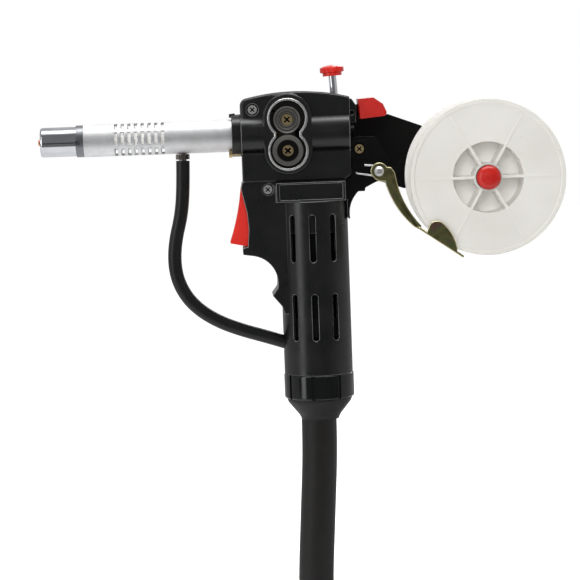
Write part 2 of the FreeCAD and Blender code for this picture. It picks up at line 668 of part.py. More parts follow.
def make_handle_shell(side):
    window = side < 0
    body = new_body("handle_shell_left" if window else "handle_shell_right")
    out = "" if window else "back"
    inward = "back" if window else ""
    top, bottom = size.grip_top, size.grip_bottom
    r = size.grip_radius
    height = "sizes.grip_top - sizes.grip_bottom"
    tube = outline(sketch(body, "XY_Plane", bottom), [(-r, 0), ("via", 0, side * r), (r, 0)])
    feature(body, "Pad", tube, height)
    web = outline(sketch(body, "XZ_Plane"), web_outline())
    feature(body, "Pad", web, "sizes.web_half", out)
    neck = outline(sketch(body, "XY_Plane", bottom - 10), [(-19.9, 0), ("via", 0, side * 19.9), (19.9, 0)])
    feature(body, "Pad", neck, 10.0)
    doc.recompute()
    inner = r - size.shell_wall
    hollow = outline(sketch(body, "XY_Plane", bottom + 3.0), [(-inner, 0), ("via", 0, side * inner),
                                                              (inner, 0)])
    feature(body, "Pocket", hollow, 130.0, "back")
    throat = outline(sketch(body, "XY_Plane", bottom - 11), [(-17.6, 0), ("via", 0, side * 17.6), (17.6, 0)])
    feature(body, "Pocket", throat, 15.0, "back")
    room = outline(sketch(body, "XZ_Plane"), web_cavity())
    feature(body, "Pocket", room, "sizes.web_half - 2.4", inward)
    mouth = outline(sketch(body, "XZ_Plane"), [(-55.0, -32.5), (-55.0, -72.1), (-38.0, -72.1),
                                               (-38.0, -32.5)])
    feature(body, "Pocket", mouth, 6.9, inward)
    posts = sketch(body, "XZ_Plane")
    circle(posts, -29.1, -35.2, 3.6)
    feature(body, "Pad", posts, "sizes.web_half - 1", out)
    if window:
        feature(body, "Pocket", circle(sketch(body, "XZ_Plane", size.web_half), -29.1, -35.2, 3.6), 2.2)
        feature(body, "Pocket", circle(sketch(body, "XZ_Plane"), -29.1, -35.2, 1.6), 25.0, inward)
    else:
        feature(body, "Pocket", circle(sketch(body, "XZ_Plane"), -29.1, -35.2, 1.3), 10.0, inward)
    pin = circle(sketch(body, "XZ_Plane"), size.trigger_x, size.trigger_z, 1.52)
    feature(body, "Pocket", pin, 11.2, inward)
    hose_way = circle(sketch(body, "YZ_Plane", -30.0), 0, -135.2, 5.6)
    feature(body, "Pocket", hose_way, 16.0, "back")
    for turn in (-40.5, -4.5, 31.5):
        aim = turn if window else 180 - turn
        slots = sketch(body, "XZ_Plane", 0.0, aim)
        for high, low in ((-52.0, -82.5), (-103.2, -133.4)):
            half = 2.0
            outline(slots, [(half, low + half), (half, high - half), ("via", 0, high), (-half, high - half),
                            (-half, low + half), ("via", 0, low)])
        feature(body, "Pocket", slots, 25.0, "back")


def make_drive():
    gearbox = new_body("gearbox")
    case = circle(sketch(gearbox, "XY_Plane", -64.0), 0, 0, "sizes.motor_radius")
    feature(gearbox, "Pad", case, 16.0)
    nose = circle(sketch(gearbox, "XY_Plane", -49.0), WORM_X, size.gear_y, 5.0)
    feature(gearbox, "Pad", nose, 4.0)
    doc.recompute()
    feature(gearbox, "Pocket", circle(sketch(gearbox, "XY_Plane", -44.0), WORM_X, size.gear_y, 2.06), 8.0)
    motor = new_body("motor")
    top, bottom = -64.1, -126.0
    r = size.motor_radius
    turned(motor, [(0, top), (r, top), (r, bottom + 1.5, 1.0), (r - 2.5, bottom), (6.5, bottom),
                   (6.5, bottom - 3.0), (0, bottom - 3.0)], axis="V_Axis")
    for y in (-11.0, 11.0):
        tag = outline(sketch(motor, "XY_Plane", bottom - 6.0),
                      [(-3.0, y - 0.4), (3.0, y - 0.4), (3.0, y + 0.4), (-3.0, y + 0.4)])
        feature(motor, "Pad", tag, 7.0)


def make_trigger():
    body = new_body("trigger")
    side = sketch(body, "XZ_Plane")
    outline(side, [(-46.4, -33.4), (-37.4, -33.4, 2.0), (-37.4, -71.6), (-43.2, -71.7),
                   (-54.7, -69.3, 0.8), ("via", -50.2, -54.5), (-47.6, -42.0)])
    feature(body, "Pad", side, 13.0, "both")
    doc.recompute()
    hollow = outline(sketch(body, "XZ_Plane"), [(-44.6, -43.0), (-36.0, -43.0), (-36.0, -66.0),
                                                (-46.8, -66.0)])
    feature(body, "Pocket", hollow, 9.0, "both")
    pusher = outline(sketch(body, "XZ_Plane"), [(-46.0, -58.0), (-36.6, -58.0), (-36.6, -55.0),
                                                (-46.0, -55.0)])
    feature(body, "Pad", pusher, 3.0, "both")
    feature(body, "Pocket", circle(sketch(body, "XZ_Plane", 10.0), size.trigger_x, size.trigger_z, 1.56),
            20.0)
    keep(primitive("Cylinder", "trigger_pin", (size.trigger_x, -11.0, size.trigger_z), (0, 1, 0),
                   Radius=1.5, Height=22.0))
    switch = new_body("microswitch")
    case = outline(sketch(switch, "XZ_Plane"), [(-33.0, -66.0), (-26.6, -66.0), (-26.6, -46.2),
                                                (-33.0, -46.2)])
    feature(switch, "Pad", case, 10.0, "both")
    button = outline(sketch(switch, "XZ_Plane"), [(-33.8, -58.0), (-33.0, -58.0), (-33.0, -55.0),
                                                  (-33.8, -55.0)])
    feature(switch, "Pad", button, 3.0, "both")


def torsion_spring(label, centre, radius, wire, turns, pitch, first, last):
    """A coil about Y whose two straight legs leave it tangentially for their far ends in X and Z."""
    angles = []
    for end, side in ((first, 1), (last, -1)):
        away = Vector(end[0] - centre.x, end[1] - centre.z, 0)
        angles.append(math.degrees(math.atan2(away.y, away.x) + side * math.acos(radius / away.Length)))
    swept = turns * 360 + (angles[1] - angles[0]) % 360
    width = pitch * swept / 360
    helix = Part.makeHelix(pitch, width, radius, 0)
    section = Part.Wire(Part.makeCircle(wire, Vector(radius, 0, 0), Vector(0, 1, 0)))
    coil = Part.Wire(helix).makePipeShell([section], True, True)
    coil.rotate(Vector(), Vector(0, 0, 1), angles[0])
    coil.rotate(Vector(), Vector(1, 0, 0), 90)
    coil.translate(centre)
    legs = []
    for angle, depth, end in ((angles[0], 0.0, first), (angles[1], width, last)):
        turn = math.radians(angle)
        start = centre + Vector(radius * math.cos(turn), -depth, radius * math.sin(turn))
        away = Vector(end[0], start.y, end[1]) - start
        legs.append(Part.makeCylinder(wire, away.Length, start, away))
    drawn(label, coil.fuse(legs))


def make_nut():
    body = new_body("gland_nut")
    r = size.nut_radius
    top, low = size.grip_bottom - 0.1, -172.0
    turned(body, [(20.0, top), (r, top, 0.8), (r, low, 1.2), (21.4, low), (21.4, low + 4.0),
                  (20.0, low + 4.0)], axis="V_Axis")
    turn = Rotation(Vector(0, 0, 1), -12)
    corners = [turn.multVec(Vector(along, across, 0)) for along, across in
               ((r - 0.9, -1.1), (r + 1, -1.1), (r + 1, 1.1), (r - 0.9, 1.1))]
    groove = outline(sketch(body, "XY_Plane", low - 1), [(corner.x, corner.y) for corner in corners])
    step = feature(body, "Pocket", groove, 20.0, "back")
    ring_of(body, step, int(size.nut_panels), groove, "N_Axis")
    cone = new_body("strain_relief")
    end = size.cone_end
    turned(cone, [(0, -167.0), (17.4, -167.0), (17.4, -168.2), (21.3, -168.2), (21.3, low - 0.6),
                  (20.4, low - 3.0), (14.0, end + 3.6), (12.5, end + 1.0), (12.5, end), (0, end)],
                  axis="V_Axis")


# Spool, its bracket and its brake

def make_spool():
    body = new_body("spool", x="sizes.spool_x", z="sizes.spool_z")
    half, r, drum = size.spool_half, size.spool_radius, size.drum_radius
    bore = size.hub_bore
    inner = drum - 1.4
    hub = 9.0
    plate = 1.8
    lip = 2.4
    turned(body, [(-half, bore), (-half, hub), (-0.8, hub), (-0.8, inner), (-half, inner),
                  (-half, r - lip - 0.6), (-half - 0.5, r - lip), (-half - 0.5, r), (-half + plate, r),
                  (-half + plate, drum), (half - plate, drum), (half - plate, r), (half + 0.5, r),
                  (half + 0.5, r - lip), (half, r - lip - 0.6), (half, inner), (0.8, inner), (0.8, hub),
                  (half, hub), (half, bore)], role="YZ_Plane")
    rib = outline(sketch(body, "XZ_Plane", -half), [(hub - 0.6, -0.9), (inner + 0.6, -0.9),
                                                    (inner + 0.6, 0.9), (hub - 0.6, 0.9)])
    step = feature(body, "Pad", rib, 2 * half)
    ring_of(body, step, 6, rib, "N_Axis")
    doc.recompute()
    spoke = outline(sketch(body, "XZ_Plane", half - 0.3), [(drum - 0.6, -0.8), (r - 3.4, -0.8), (r - 3.4, 0.8),
                                                           (drum - 0.6, 0.8)])
    step = feature(body, "Pad", spoke, 0.55)
    ring_of(body, step, 6, spoke, "N_Axis")


def make_bracket():
    """Moulded arm behind the spool, with a floor, a cheek for the brake and a lip down the grip's back."""
    body = new_body("spool_bracket")
    back = sketch(body, "XZ_Plane", -27.6)
    outline(back, [(25.6, 9.4), (52.2, 9.9), (74.0, 1.6), (122.0, -22.0, 9.0), (122.0, -42.0, 9.0),
                   (104.0, -42.0, 6.0), (61.0, -39.2), (45.5, -33.9), (25.6, -38.0)])
    feature(body, "Pad", back, 4.0)
    floor = sketch(body, "XZ_Plane", -27.0)
    outline(floor, [(25.4, -25.4), (43.5, -30.2), (50.0, -31.8), (49.4, -34.4), (42.0, -32.4),
                    (34.0, -36.4), (33.6, -38.6), (29.4, -38.6), ("via", 24.9, -45.0), (23.6, -56.0),
                    (22.6, -56.0), (22.6, -43.2), (20.8, -43.2), (20.8, -31.5), (25.4, -27.2)])
    feature(body, "Pad", floor, 19.0 + 16.0)
    cheek = sketch(body, "XZ_Plane", 4.0)
    outline(cheek, [(25.6, -3.6), (42.0, -3.6, 3.0), (49.0, -18.0), (50.0, -31.8), (43.5, -30.8),
                    (34.0, -34.0), (25.6, -30.0)])
    feature(body, "Pad", cheek, 4.0)
    doc.recompute()
    lug = outline(sketch(body, "XZ_Plane", 4.0), [(25.6, -17.4), (36.6, -17.4, 1.5), (36.6, -5.6, 1.5),
                                                  (25.6, -5.6)])
    feature(body, "Pad", lug, 6.0)
    wall = outline(sketch(body, "XZ_Plane", -27.0), [(25.6, -33.0), (28.6, -33.0), (28.6, -7.0),
                                                     (25.6, -7.0)])
    feature(body, "Pad", wall, 34.0)
    doc.recompute()
    feature(body, "Pocket", circle(sketch(body, "XZ_Plane", 3.0), size.brake_x, size.brake_z, 2.52), 6.0,
            "back")
    feature(body, "Pocket", circle(sketch(body, "XZ_Plane", 10.0), 30.8, -11.2, 3.9), 2.0)
    feature(body, "Pocket", circle(sketch(body, "XZ_Plane", 10.0), 30.8, -11.2, 1.52), 7.0)
    holes = sketch(body, "YZ_Plane", 20.0)
    for y, z in BRACKET_SCREWS:
        circle(holes, y, z, 2.02)
    feature(body, "Pocket", holes, 10.0, "back")
    inlet = circle(sketch(body, "YZ_Plane", 20.0), 0, 0, 6.0)
    feature(body, "Pocket", inlet, 10.0, "back")
    axle = circle(sketch(body, "XZ_Plane"), size.spool_x, size.spool_z, 5.02)
    feature(body, "Pocket", axle, 30.0)


def make_spool_parts():
    axle = new_body("spool_axle", x="sizes.spool_x", z="sizes.spool_z")
    r = size.axle_radius
    turned(axle, [(-24.4, 0), (-24.4, r), (23.5, r), (23.5, 5.0), (29.0, 5.0), (29.0, 7.0), (32.0, 7.0),
                  (32.0, 0)], role="YZ_Plane")
    washer = new_body("spool_washer", x="sizes.spool_x", z="sizes.spool_z")
    turned(washer, [(22.65, r + 0.05), (22.65, 13.0), (23.45, 13.0), (23.45, r + 0.05)], role="YZ_Plane")
    cap = new_body("spool_cap", x="sizes.spool_x", z="sizes.spool_z")
    turned(cap, [(-24.5, 0), (-24.5, 7.7), (-26.0, 7.9), ("via", -28.2, 6.6), (-29.6, 3.4), (-30.0, 2.2),
                 (-30.0, 0)], role="YZ_Plane")


def make_brake():
    """Pressed arm: a side plate, its bent edge, a foot under the spool's flanges and a flap before it."""
    body = new_body("brake_arm")
    t = size.sheet_metal
    x, z = size.brake_x, size.brake_z
    near = 14.0
    plate = sketch(body, "XZ_Plane", near - t)
    outline(plate, [(x - 5.6, z), ("via", x, z + 5.6), (47.8, -23.4), (50.6, -23.8, 1.0), (52.9, -27.1),
                    ("via", 58.7, -46.6), (69.2, -62.2), (67.4, -64.4), (64.4, -62.8), ("via", 53.8, -50.2),
                    (46.2, -32.6), ("via", x - 2.2, z - 5.2)])
    feature(body, "Pad", plate, t)
    edge = sketch(body, "XZ_Plane", near - 5.0)
    outline(edge, [(52.9, -27.1), ("via", 58.7, -46.6), (69.2, -62.2), (68.0, -63.2), ("via", 57.3, -47.2),
                   (51.4, -27.5)])
    feature(body, "Pad", edge, 5.0)
    foot = sketch(body, "XZ_Plane", -4.0)
    along = Vector(0.820, 0, -0.572)
    start = Vector(66.75, 0, -62.0)
    end = start + along * 34.5
    side = Vector(-0.572, 0, -0.820) * t
    outline(foot, [(start.x, start.z), (end.x, end.z), (end.x + side.x, end.z + side.z),
                   (start.x + side.x, start.z + side.z)])
    feature(body, "Pad", foot, 29.0)
    flap = sketch(body, "XZ_Plane", 25.0 - t)
    a, b = start + along * 5.7, start + along * 29.2
    outline(flap, [(a.x + side.x, a.z + side.z), (a.x, a.z), (73.2, -60.8), ("via", 76.8, -58.6),
                   (81.4, -59.8), ("via", 87.3, -67.0), (90.6, -76.5), (b.x, b.z),
                   (b.x + side.x, b.z + side.z)])
    feature(body, "Pad", flap, t)
    doc.recompute()
    feature(body, "Pocket", circle(sketch(body, "XZ_Plane", 20.0), x, z, 2.56), 10.0)
    rivet = new_body("brake_rivet", x="sizes.brake_x", z="sizes.brake_z")
    turned(rivet, [(-15.6, 0), (-15.6, 1.8), (-14.2, 3.2), (-14.2, 2.5), (1.5, 2.5), (1.5, 3.2),
                   (2.5, 3.2), (2.5, 0)], role="YZ_Plane")


# Swept tubes: the gas hose, the cable and its coil

def tube_along(points, radius):
    """Straight runs joined by tangent arcs, each arc as large as its two runs allow."""
    edges, radii = [], []
    start = points[0]
    for before, corner, after in zip(points, points[1:], points[2:]):
        back, ahead = before - corner, after - corner
        run = 0.45 * min(back.Length, ahead.Length)
        turn = math.pi - back.getAngle(ahead)
        radii.append(run / math.tan(turn / 2))
        back.normalize()
        ahead.normalize()
        first, last = corner + back * run, corner + ahead * run
        bow = radii[-1] / math.cos(turn / 2) - radii[-1]
        middle = corner + (back + ahead).normalize() * bow
        edges += [Part.LineSegment(start, first).toShape(), Part.Arc(first, middle, last).toShape()]
        start = last
    edges.append(Part.LineSegment(start, points[-1]).toShape())
    path = Part.Wire(edges)
    section = Part.Wire(Part.makeCircle(radius, points[0], points[1] - points[0]))
    tube = path.makePipeShell([section], True, False)
    ratio = tube.Volume / (math.pi * radius ** 2 * path.Length)
    arcs = " ".join("%.0f" % r for r in radii)
    print("tube of %.0f mm, arcs %s, volume over section times length %.4f" % (path.Length, arcs, ratio))
    return tube, path.Length


HOSE = [Vector(x, 0, z) for x, z in (
    (-83.1, -15.0), (-83.6, -33.0), (-85.6, -50.5), (-89.9, -66.0), (-91.3, -80.0), (-89.6, -92.5),
    (-84.0, -104.0), (-75.0, -113.4), (-62.0, -121.4), (-47.0, -127.2), (-32.5, -131.6), (-18.5, -136.4))]

CABLE = [Vector(x, 0, z) for x, z in (
    (-0.9, -186.5), (-0.9, -206.5), (-3.3, -243.0), (-8.4, -319.6), (7.0, -363.0), (38.4, -396.6),
    (80.6, -415.0), (126.6, -415.0))]

COIL_TURNS = 3.5
COIL_GAP = 0.6
PLUG_HEIGHT = 24.0


def coil_point(angle, outside, pitch):
    """The cable's middle after an angle of winding: spirals in below, climbs, and spirals out on top."""
    whole = COIL_TURNS * 2 * math.pi
    half = whole / 2
    ease = 0.35
    inward = math.hypot(half, ease) - math.hypot(angle - half, ease)
    radius = outside - pitch * inward / (2 * math.pi)
    climb = min(max((angle - half) / math.pi + 0.5, 0.0), 1.0)
    rise = pitch * climb * climb * (3 - 2 * climb)
    heading = angle - math.pi / 2
    centre = CABLE[-1] + Vector(2 * size.cable_radius, outside, 0)
    return centre + Vector(radius * math.cos(heading), radius * math.sin(heading), rise)


def arc_from(start, tangent, end):
    chord = end - start
    across = chord - tangent * chord.dot(tangent)
    if across.Length < 1e-6:
        return Part.LineSegment(start, end).toShape()
    across.normalize()
    radius = chord.Length ** 2 / (2 * chord.dot(across))
    centre = start + across * radius
    out = ((start + end) * 0.5 - centre).normalize()
    return Part.Arc(start, centre + out * radius, end).toShape()


def biarc(start, leave, end, arrive):
    """Two arcs that join two points with their directions."""
    chord = end - start
    both = leave + arrive
    spread = 2 * (1 - leave.dot(arrive))
    along = chord.dot(both)
    reach = (-along + math.sqrt(along ** 2 + spread * chord.dot(chord))) / spread if spread > 1e-9 \
        else chord.dot(chord) / (4 * chord.dot(arrive))
    middle = (start + end + (leave - arrive) * reach) * 0.5
    back = arc_from(end, arrive * -1, middle)
    return [arc_from(start, leave, middle), back]


def make_coil(free_length):
    pitch = 2 * size.cable_radius + COIL_GAP
    straight = 2 * size.cable_radius
    tail = 100.0
    wound = size.cable_length - free_length - tail - 2 * straight
    outside = wound / (COIL_TURNS * 2 * math.pi) + pitch * COIL_TURNS / 4
    steps = int(COIL_TURNS * 4)

    def place(angle):
        return coil_point(angle, outside, pitch)

    def direction(angle):
        if angle <= 0:
            return Vector(1, 0, 0)
        return (place(angle + 0.001) - place(angle - 0.001)).normalize()

    knots = [step * math.pi / 2 for step in range(steps + 1)]
    edges = [Part.LineSegment(CABLE[-1], place(0)).toShape()]
    for first, last in zip(knots, knots[1:]):
        edges += biarc(place(first), direction(first), place(last), direction(last))
    end, aim = place(knots[-1]), direction(knots[-1])
    fall = end.z - (CABLE[-1].z - size.cable_radius + PLUG_HEIGHT)
    level = Vector(aim.x, aim.y, 0).normalize()
    rest = end + level * tail + Vector(0, 0, -fall)
    edges += biarc(end, aim, rest, level)
    edges.append(Part.LineSegment(rest, rest + level * straight).toShape())
    path = Part.Wire(Part.__sortEdges__(edges))
    radius = size.cable_radius
    section = Part.Wire(Part.makeCircle(radius, CABLE[-1], Vector(1, 0, 0)))
    coil = path.makePipeShell([section], True, False)
    spots = [place(number * knots[-1] / 700) for number in range(701)]
    least = min((spots[i] - spots[j]).Length for i in range(701) for j in range(i + 60, 701))
    print("coil of %.0f mm, outer radius %.1f, least gap %.2f, volume over section times length %.4f"
          % (path.Length, outside, least - 2 * radius, coil.Volume / (math.pi * radius ** 2 * path.Length)))
    drawn("cable_coil", coil)
    return rest + level * straight, level, outside, path.Length


def edges_along_y(box):
    return [edge for edge in box.Edges if abs(edge.tangentAt(edge.FirstParameter).y) > 0.9]


def make_tie(outside):
    """A strap round the four strands on the coil's far side in X."""
    pitch = 2 * size.cable_radius + COIL_GAP
    middle = CABLE[-1] + Vector(2 * size.cable_radius + outside - 0.75 * pitch, outside, pitch / 2)
    half = pitch / 2 + size.cable_radius + 0.5
    width, thick = 12.0, 1.4
    outer = Part.makeBox(2 * (half + thick), width, 2 * (half + thick),
                         middle + Vector(-half - thick, -width / 2, -half - thick))
    outer = outer.makeFillet(6.0, edges_along_y(outer))
    inner = Part.makeBox(2 * half, width + 2, 2 * half, middle + Vector(-half, -width / 2 - 1, -half))
    inner = inner.makeFillet(5.0, edges_along_y(inner))
    drawn("coil_tie", outer.cut(inner))


def make_plug(place, level):
    """The connector for the welding machine, lying beside the coil on the cable's end."""
    turn = Rotation(Vector(0, 0, 1), level)

    def lathe(label, points):
        wire = Part.makePolygon([Vector(radius, 0, along) for radius, along in points + points[:1]])
        shape = Part.Face(wire).revolve(Vector(), Vector(0, 0, 1), 360)
        shape.Placement = Placement(place, turn)
        drawn(label, shape)

    print("plug starts at %s, aims %s" % (place, level))
    lathe("plug_body", [(0, 0), (12.6, 0), (13.4, 4), (19.0, 40), (19.5, 72), (0, 72)])
    lathe("plug_nut", [(8.05, 72.2), (23.0, 72.2), (24.0, 73.4), (24.0, 88.0), (23.0, 89.2), (18.0, 89.2),
                       (18.0, 74.2), (8.05, 74.2)])
    lathe("plug_pin", [(0.8, 72.05), (8.0, 72.05), (8.0, 90.0), (5.0, 90.0), (5.0, 112.0), (4.2, 113.0),
                       (0.8, 113.0)])


make_nozzle()
make_nozzle_ring()
make_diffuser()
make_tip()
make_conductor()
make_barrel()
make_bush()
make_collar()
make_nipple()
make_head_shell(-1)
make_head_shell(1)
make_frame()
make_guides()
make_rollers()
make_worm_wheel()
make_worm()
make_arm()
make_thumb_lever()
make_tension()
make_handle_shell(-1)
make_handle_shell(1)
make_drive()
make_trigger()
make_nut()
make_spool()
make_bracket()
make_spool_parts()
make_brake()
torsion_spring("trigger_spring", Vector(size.trigger_x, 9.6, size.trigger_z), 2.3, 0.35, 2, 0.85,
               (-33.0, -42.5), (-39.4, -45.0))
torsion_spring("brake_spring", Vector(size.brake_x, -9.0, size.brake_z), 3.4, 0.6, 1, 1.4, (28.4, -26.9),
               (33.6, -21.8))
keep(cross_screw("collar_screw", (-53.1, -5.4, -11.7), (1, 0, 0), 2.3, 2.2, 1.0, 5.5))
group("shell_screws", [cross_screw("shell_screw", place, (0, 1, 0), 2.9, 1.3, 1.25, 17.6)
                       for place in ((-37.2, -14.4, 16.4), (-29.1, -11.6, -35.2))])
group("bracket_screws", [cross_screw("bracket_screw", (30.0, y, z), (-1, 0, 0), 3.5, 1.4, 1.85, 9.0)
                         for y, z in BRACKET_SCREWS])
keep(cross_screw("cheek_screw", (30.8, -9.6, -11.2), (0, 1, 0), 3.0, 1.5, 1.5, 5.0))
hose, hose_length = tube_along(HOSE, size.hose_radius)
drawn("gas_hose", hose)
cable, free_length = tube_along(CABLE, size.cable_radius)
drawn("cable", cable)
plug_place, plug_level, coil_outside, coil_length = make_coil(free_length)
print("cable length %.0f" % (free_length + coil_length))
make_tie(coil_outside)
make_plug(plug_place, plug_level)

doc.recompute()
faults = [item.Label for item in doc.Objects if "Invalid" in item.State or "Error" in item.State]
if faults:
    raise RuntimeError("faulty objects: " + ", ".join(faults))
for item in nodes:
    shape = item.Shape
    if shape.isNull() or not shape.isValid() or not shape.Solids:
        raise RuntimeError("bad shape: " + item.Label)
    shape.exportStep("parts/%s.step" % item.Label)
    print("%-20s %2d solids %9.0f mm3" % (item.Label, len(shape.Solids), shape.Volume))
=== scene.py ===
# %% [markdown]
# This lesson dresses a spool gun, a pistol torch for wire welding that carries its own small spool.
# The solids come ready made from the CAD model. Here they get finishes, softened edges, and fuller forms
# where the light shows more than the solids hold. Every length is in metres, in the CAD model's own frame:
# X runs from the nozzle to the spool, Z is up, and the camera looks from the -Y side.

# %% Load the solids
import json
import math

import bmesh
import bpy
from mathutils import Matrix, Vector

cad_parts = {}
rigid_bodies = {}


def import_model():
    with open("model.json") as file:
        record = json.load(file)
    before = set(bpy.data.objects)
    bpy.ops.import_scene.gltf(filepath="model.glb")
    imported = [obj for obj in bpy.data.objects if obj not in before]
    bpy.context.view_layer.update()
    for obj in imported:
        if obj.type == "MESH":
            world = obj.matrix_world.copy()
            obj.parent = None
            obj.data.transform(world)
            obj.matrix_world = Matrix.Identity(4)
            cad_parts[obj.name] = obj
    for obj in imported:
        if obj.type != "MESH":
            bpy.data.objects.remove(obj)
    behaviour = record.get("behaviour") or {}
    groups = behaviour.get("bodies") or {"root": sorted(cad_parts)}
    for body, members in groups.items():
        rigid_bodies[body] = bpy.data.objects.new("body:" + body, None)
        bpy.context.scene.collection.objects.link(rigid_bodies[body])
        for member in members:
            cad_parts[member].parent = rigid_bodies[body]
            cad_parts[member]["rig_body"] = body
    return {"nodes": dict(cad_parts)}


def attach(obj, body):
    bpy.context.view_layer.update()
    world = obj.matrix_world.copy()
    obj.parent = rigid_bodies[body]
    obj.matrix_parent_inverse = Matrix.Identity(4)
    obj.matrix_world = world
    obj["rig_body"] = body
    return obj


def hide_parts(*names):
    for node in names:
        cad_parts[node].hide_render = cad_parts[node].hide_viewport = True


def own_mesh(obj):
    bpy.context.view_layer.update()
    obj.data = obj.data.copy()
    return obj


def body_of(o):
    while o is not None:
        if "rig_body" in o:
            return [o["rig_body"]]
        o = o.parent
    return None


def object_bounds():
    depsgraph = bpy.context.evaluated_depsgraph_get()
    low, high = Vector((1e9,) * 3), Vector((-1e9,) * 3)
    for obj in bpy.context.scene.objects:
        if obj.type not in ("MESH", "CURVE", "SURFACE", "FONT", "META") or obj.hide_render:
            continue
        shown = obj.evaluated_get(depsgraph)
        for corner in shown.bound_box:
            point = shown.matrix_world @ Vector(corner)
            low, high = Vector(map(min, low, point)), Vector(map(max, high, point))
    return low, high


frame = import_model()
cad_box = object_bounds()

# %% [markdown]
# The CAD sketches are drawn about the barrel's axis, 100 mm above the middle of the grip.
# One small helper turns a place in those millimetres into a point of the scene.

# %% Places and colours
MM = 0.001
BARREL_HEIGHT = 100.0


def place(x, y, z):
    """A point given in mm about the barrel's axis, in metres in the scene."""
    return Vector((x, y, z + BARREL_HEIGHT)) * MM


def srgb(code):
    """A hex colour as the linear values that shaders work in."""
    parts = [int(code[i:i + 2], 16) / 255 for i in (1, 3, 5)]
    return [c / 12.92 if c <= 0.04045 else ((c + 0.055) / 1.055) ** 2.4 for c in parts] + [1.0]


print("barrel's axis at z =", place(0, 0, 0).z)

# %% [markdown]
# The camera comes first, because the rest is seen through it. The photograph was taken with a long lens,
# nearly level with the head and turned a touch, so the barrel rises a little towards the spool. The camera
# here stands at that place with that tilt.

# %% Camera
CAMERA_PLACE = (-0.0533, -1.3931, 0.1326)
LOOKS_AT = (-0.0169, 0.0, -0.0016)
LENS_MM = 133.4
TURNED = math.radians(-2.1)

camera_data = bpy.data.cameras.new("camera")
camera_data.sensor_width = 36.0
camera_data.lens = LENS_MM
camera_data.clip_start, camera_data.clip_end = 0.05, 50
camera = bpy.data.objects.new("camera", camera_data)
bpy.context.scene.collection.objects.link(camera)
camera.location = CAMERA_PLACE
camera.rotation_mode = "QUATERNION"
looking = (Vector(LOOKS_AT) - camera.location).to_track_quat("-Z", "Y")
camera.rotation_quaternion = looking @ Matrix.Rotation(TURNED, 4, "Z").to_quaternion()
bpy.context.scene.camera = camera
bpy.context.scene.view_settings.view_transform = "Standard"
print("camera at", [round(v, 3) for v in camera.location])

# %% [markdown]
# Materials are small graphs of nodes. One function adds any node: properties go in by name, inputs as a
# dictionary whose values are numbers, colours, or the output of another node, which is then linked.
# Most finishes end alike: a colour, a gloss and a fine relief go into the main shader.

# %% A function that adds a node
def add(material, kind, inputs=None, stops=None, **settings):
    """Adds a node. Stops are a colour ramp's, each a position and a linear colour."""
    node = material.node_tree.nodes.new("ShaderNode" + kind)
    for name, value in settings.items():
        setattr(node, name, value)
    for name, value in (inputs or {}).items():
        if isinstance(value, bpy.types.NodeSocket):
            material.node_tree.links.new(value, node.inputs[name])
        else:
            node.inputs[name].default_value = value
    if stops:
        first, last = node.color_ramp.elements
        first.position, first.color = stops[0]
        last.position, last.color = stops[-1]
        for position, colour in stops[1:-1]:
            node.color_ramp.elements.new(position).color = colour
    return node


def start_material(name, **inputs):
    """A material with its main shader, whose inputs are named with underscores for spaces."""
    material = bpy.data.materials.new(name)
    material.use_nodes = True
    shader = material.node_tree.nodes["Principled BSDF"]
    for key, value in inputs.items():
        shader.inputs[key.replace("_", " ")].default_value = value
    return material, shader


def drive(material, shader, **links):
    """Links outputs of other nodes to the shader's inputs."""
    for key, socket in links.items():
        material.node_tree.links.new(socket, shader.inputs[key.replace("_", " ")])


def cover(material, shader, tone, gloss, height, strength, relief_mm):
    """Gives the shader its colour and gloss, and a relief up to relief_mm high."""
    skin = add(material, "Bump", {"Height": height, "Strength": strength, "Distance": relief_mm * MM})
    drive(material, shader, Base_Color=tone.outputs["Color"], Roughness=gloss.outputs["Result"],
          Normal=skin.outputs["Normal"])


print("helpers for materials:", [helper.__name__ for helper in (add, start_material, drive, cover)])

# %% [markdown]
# Patterns are sized in millimetres. Noise is given the size of its features. Two measures are read from where
# a point lies on its piece: how far it is from an axle, and how deep it lies behind the front.

# %% Patterns in real sizes
EVEN = (1, 1, 1)


def grain(material, size_mm, detail=3.0, stretch=EVEN):
    """Noise whose features are about size_mm across, on the object's own coordinates."""
    where = add(material, "TexCoord").outputs["Object"]
    turned = add(material, "Mapping", {"Vector": where, "Scale": stretch}).outputs["Vector"]
    return add(material, "TexNoise", {"Vector": turned, "Scale": 1 / (size_mm * MM), "Detail": detail})


def from_axis(material, x, z):
    """How far a point is, in mm, from the axis along Y through x and z about the barrel's axis."""
    middle = place(x, 0, z)
    where = add(material, "TexCoord").outputs["Object"]
    flat = add(material, "Mapping", {"Vector": where, "Location": (-middle.x, 0, -middle.z),
                                     "Scale": (1, 0, 1)})
    length = add(material, "VectorMath", {0: flat.outputs["Vector"]}, operation="LENGTH").outputs["Value"]
    return add(material, "Math", {0: length, 1: 1 / MM}, operation="MULTIPLY").outputs["Value"]


def depth(material, near_mm, far_mm):
    """Runs from 0 at the depth near_mm to 1 at far_mm. Depth is Y, which points away from the camera."""
    where = add(material, "TexCoord").outputs["Object"]
    y = add(material, "SeparateXYZ", {"Vector": where}).outputs["Y"]
    span = {"Value": y, "From Min": near_mm * MM, "From Max": far_mm * MM}
    return add(material, "MapRange", span).outputs["Result"]


print("a 1 mm grain has scale", 1 / MM)
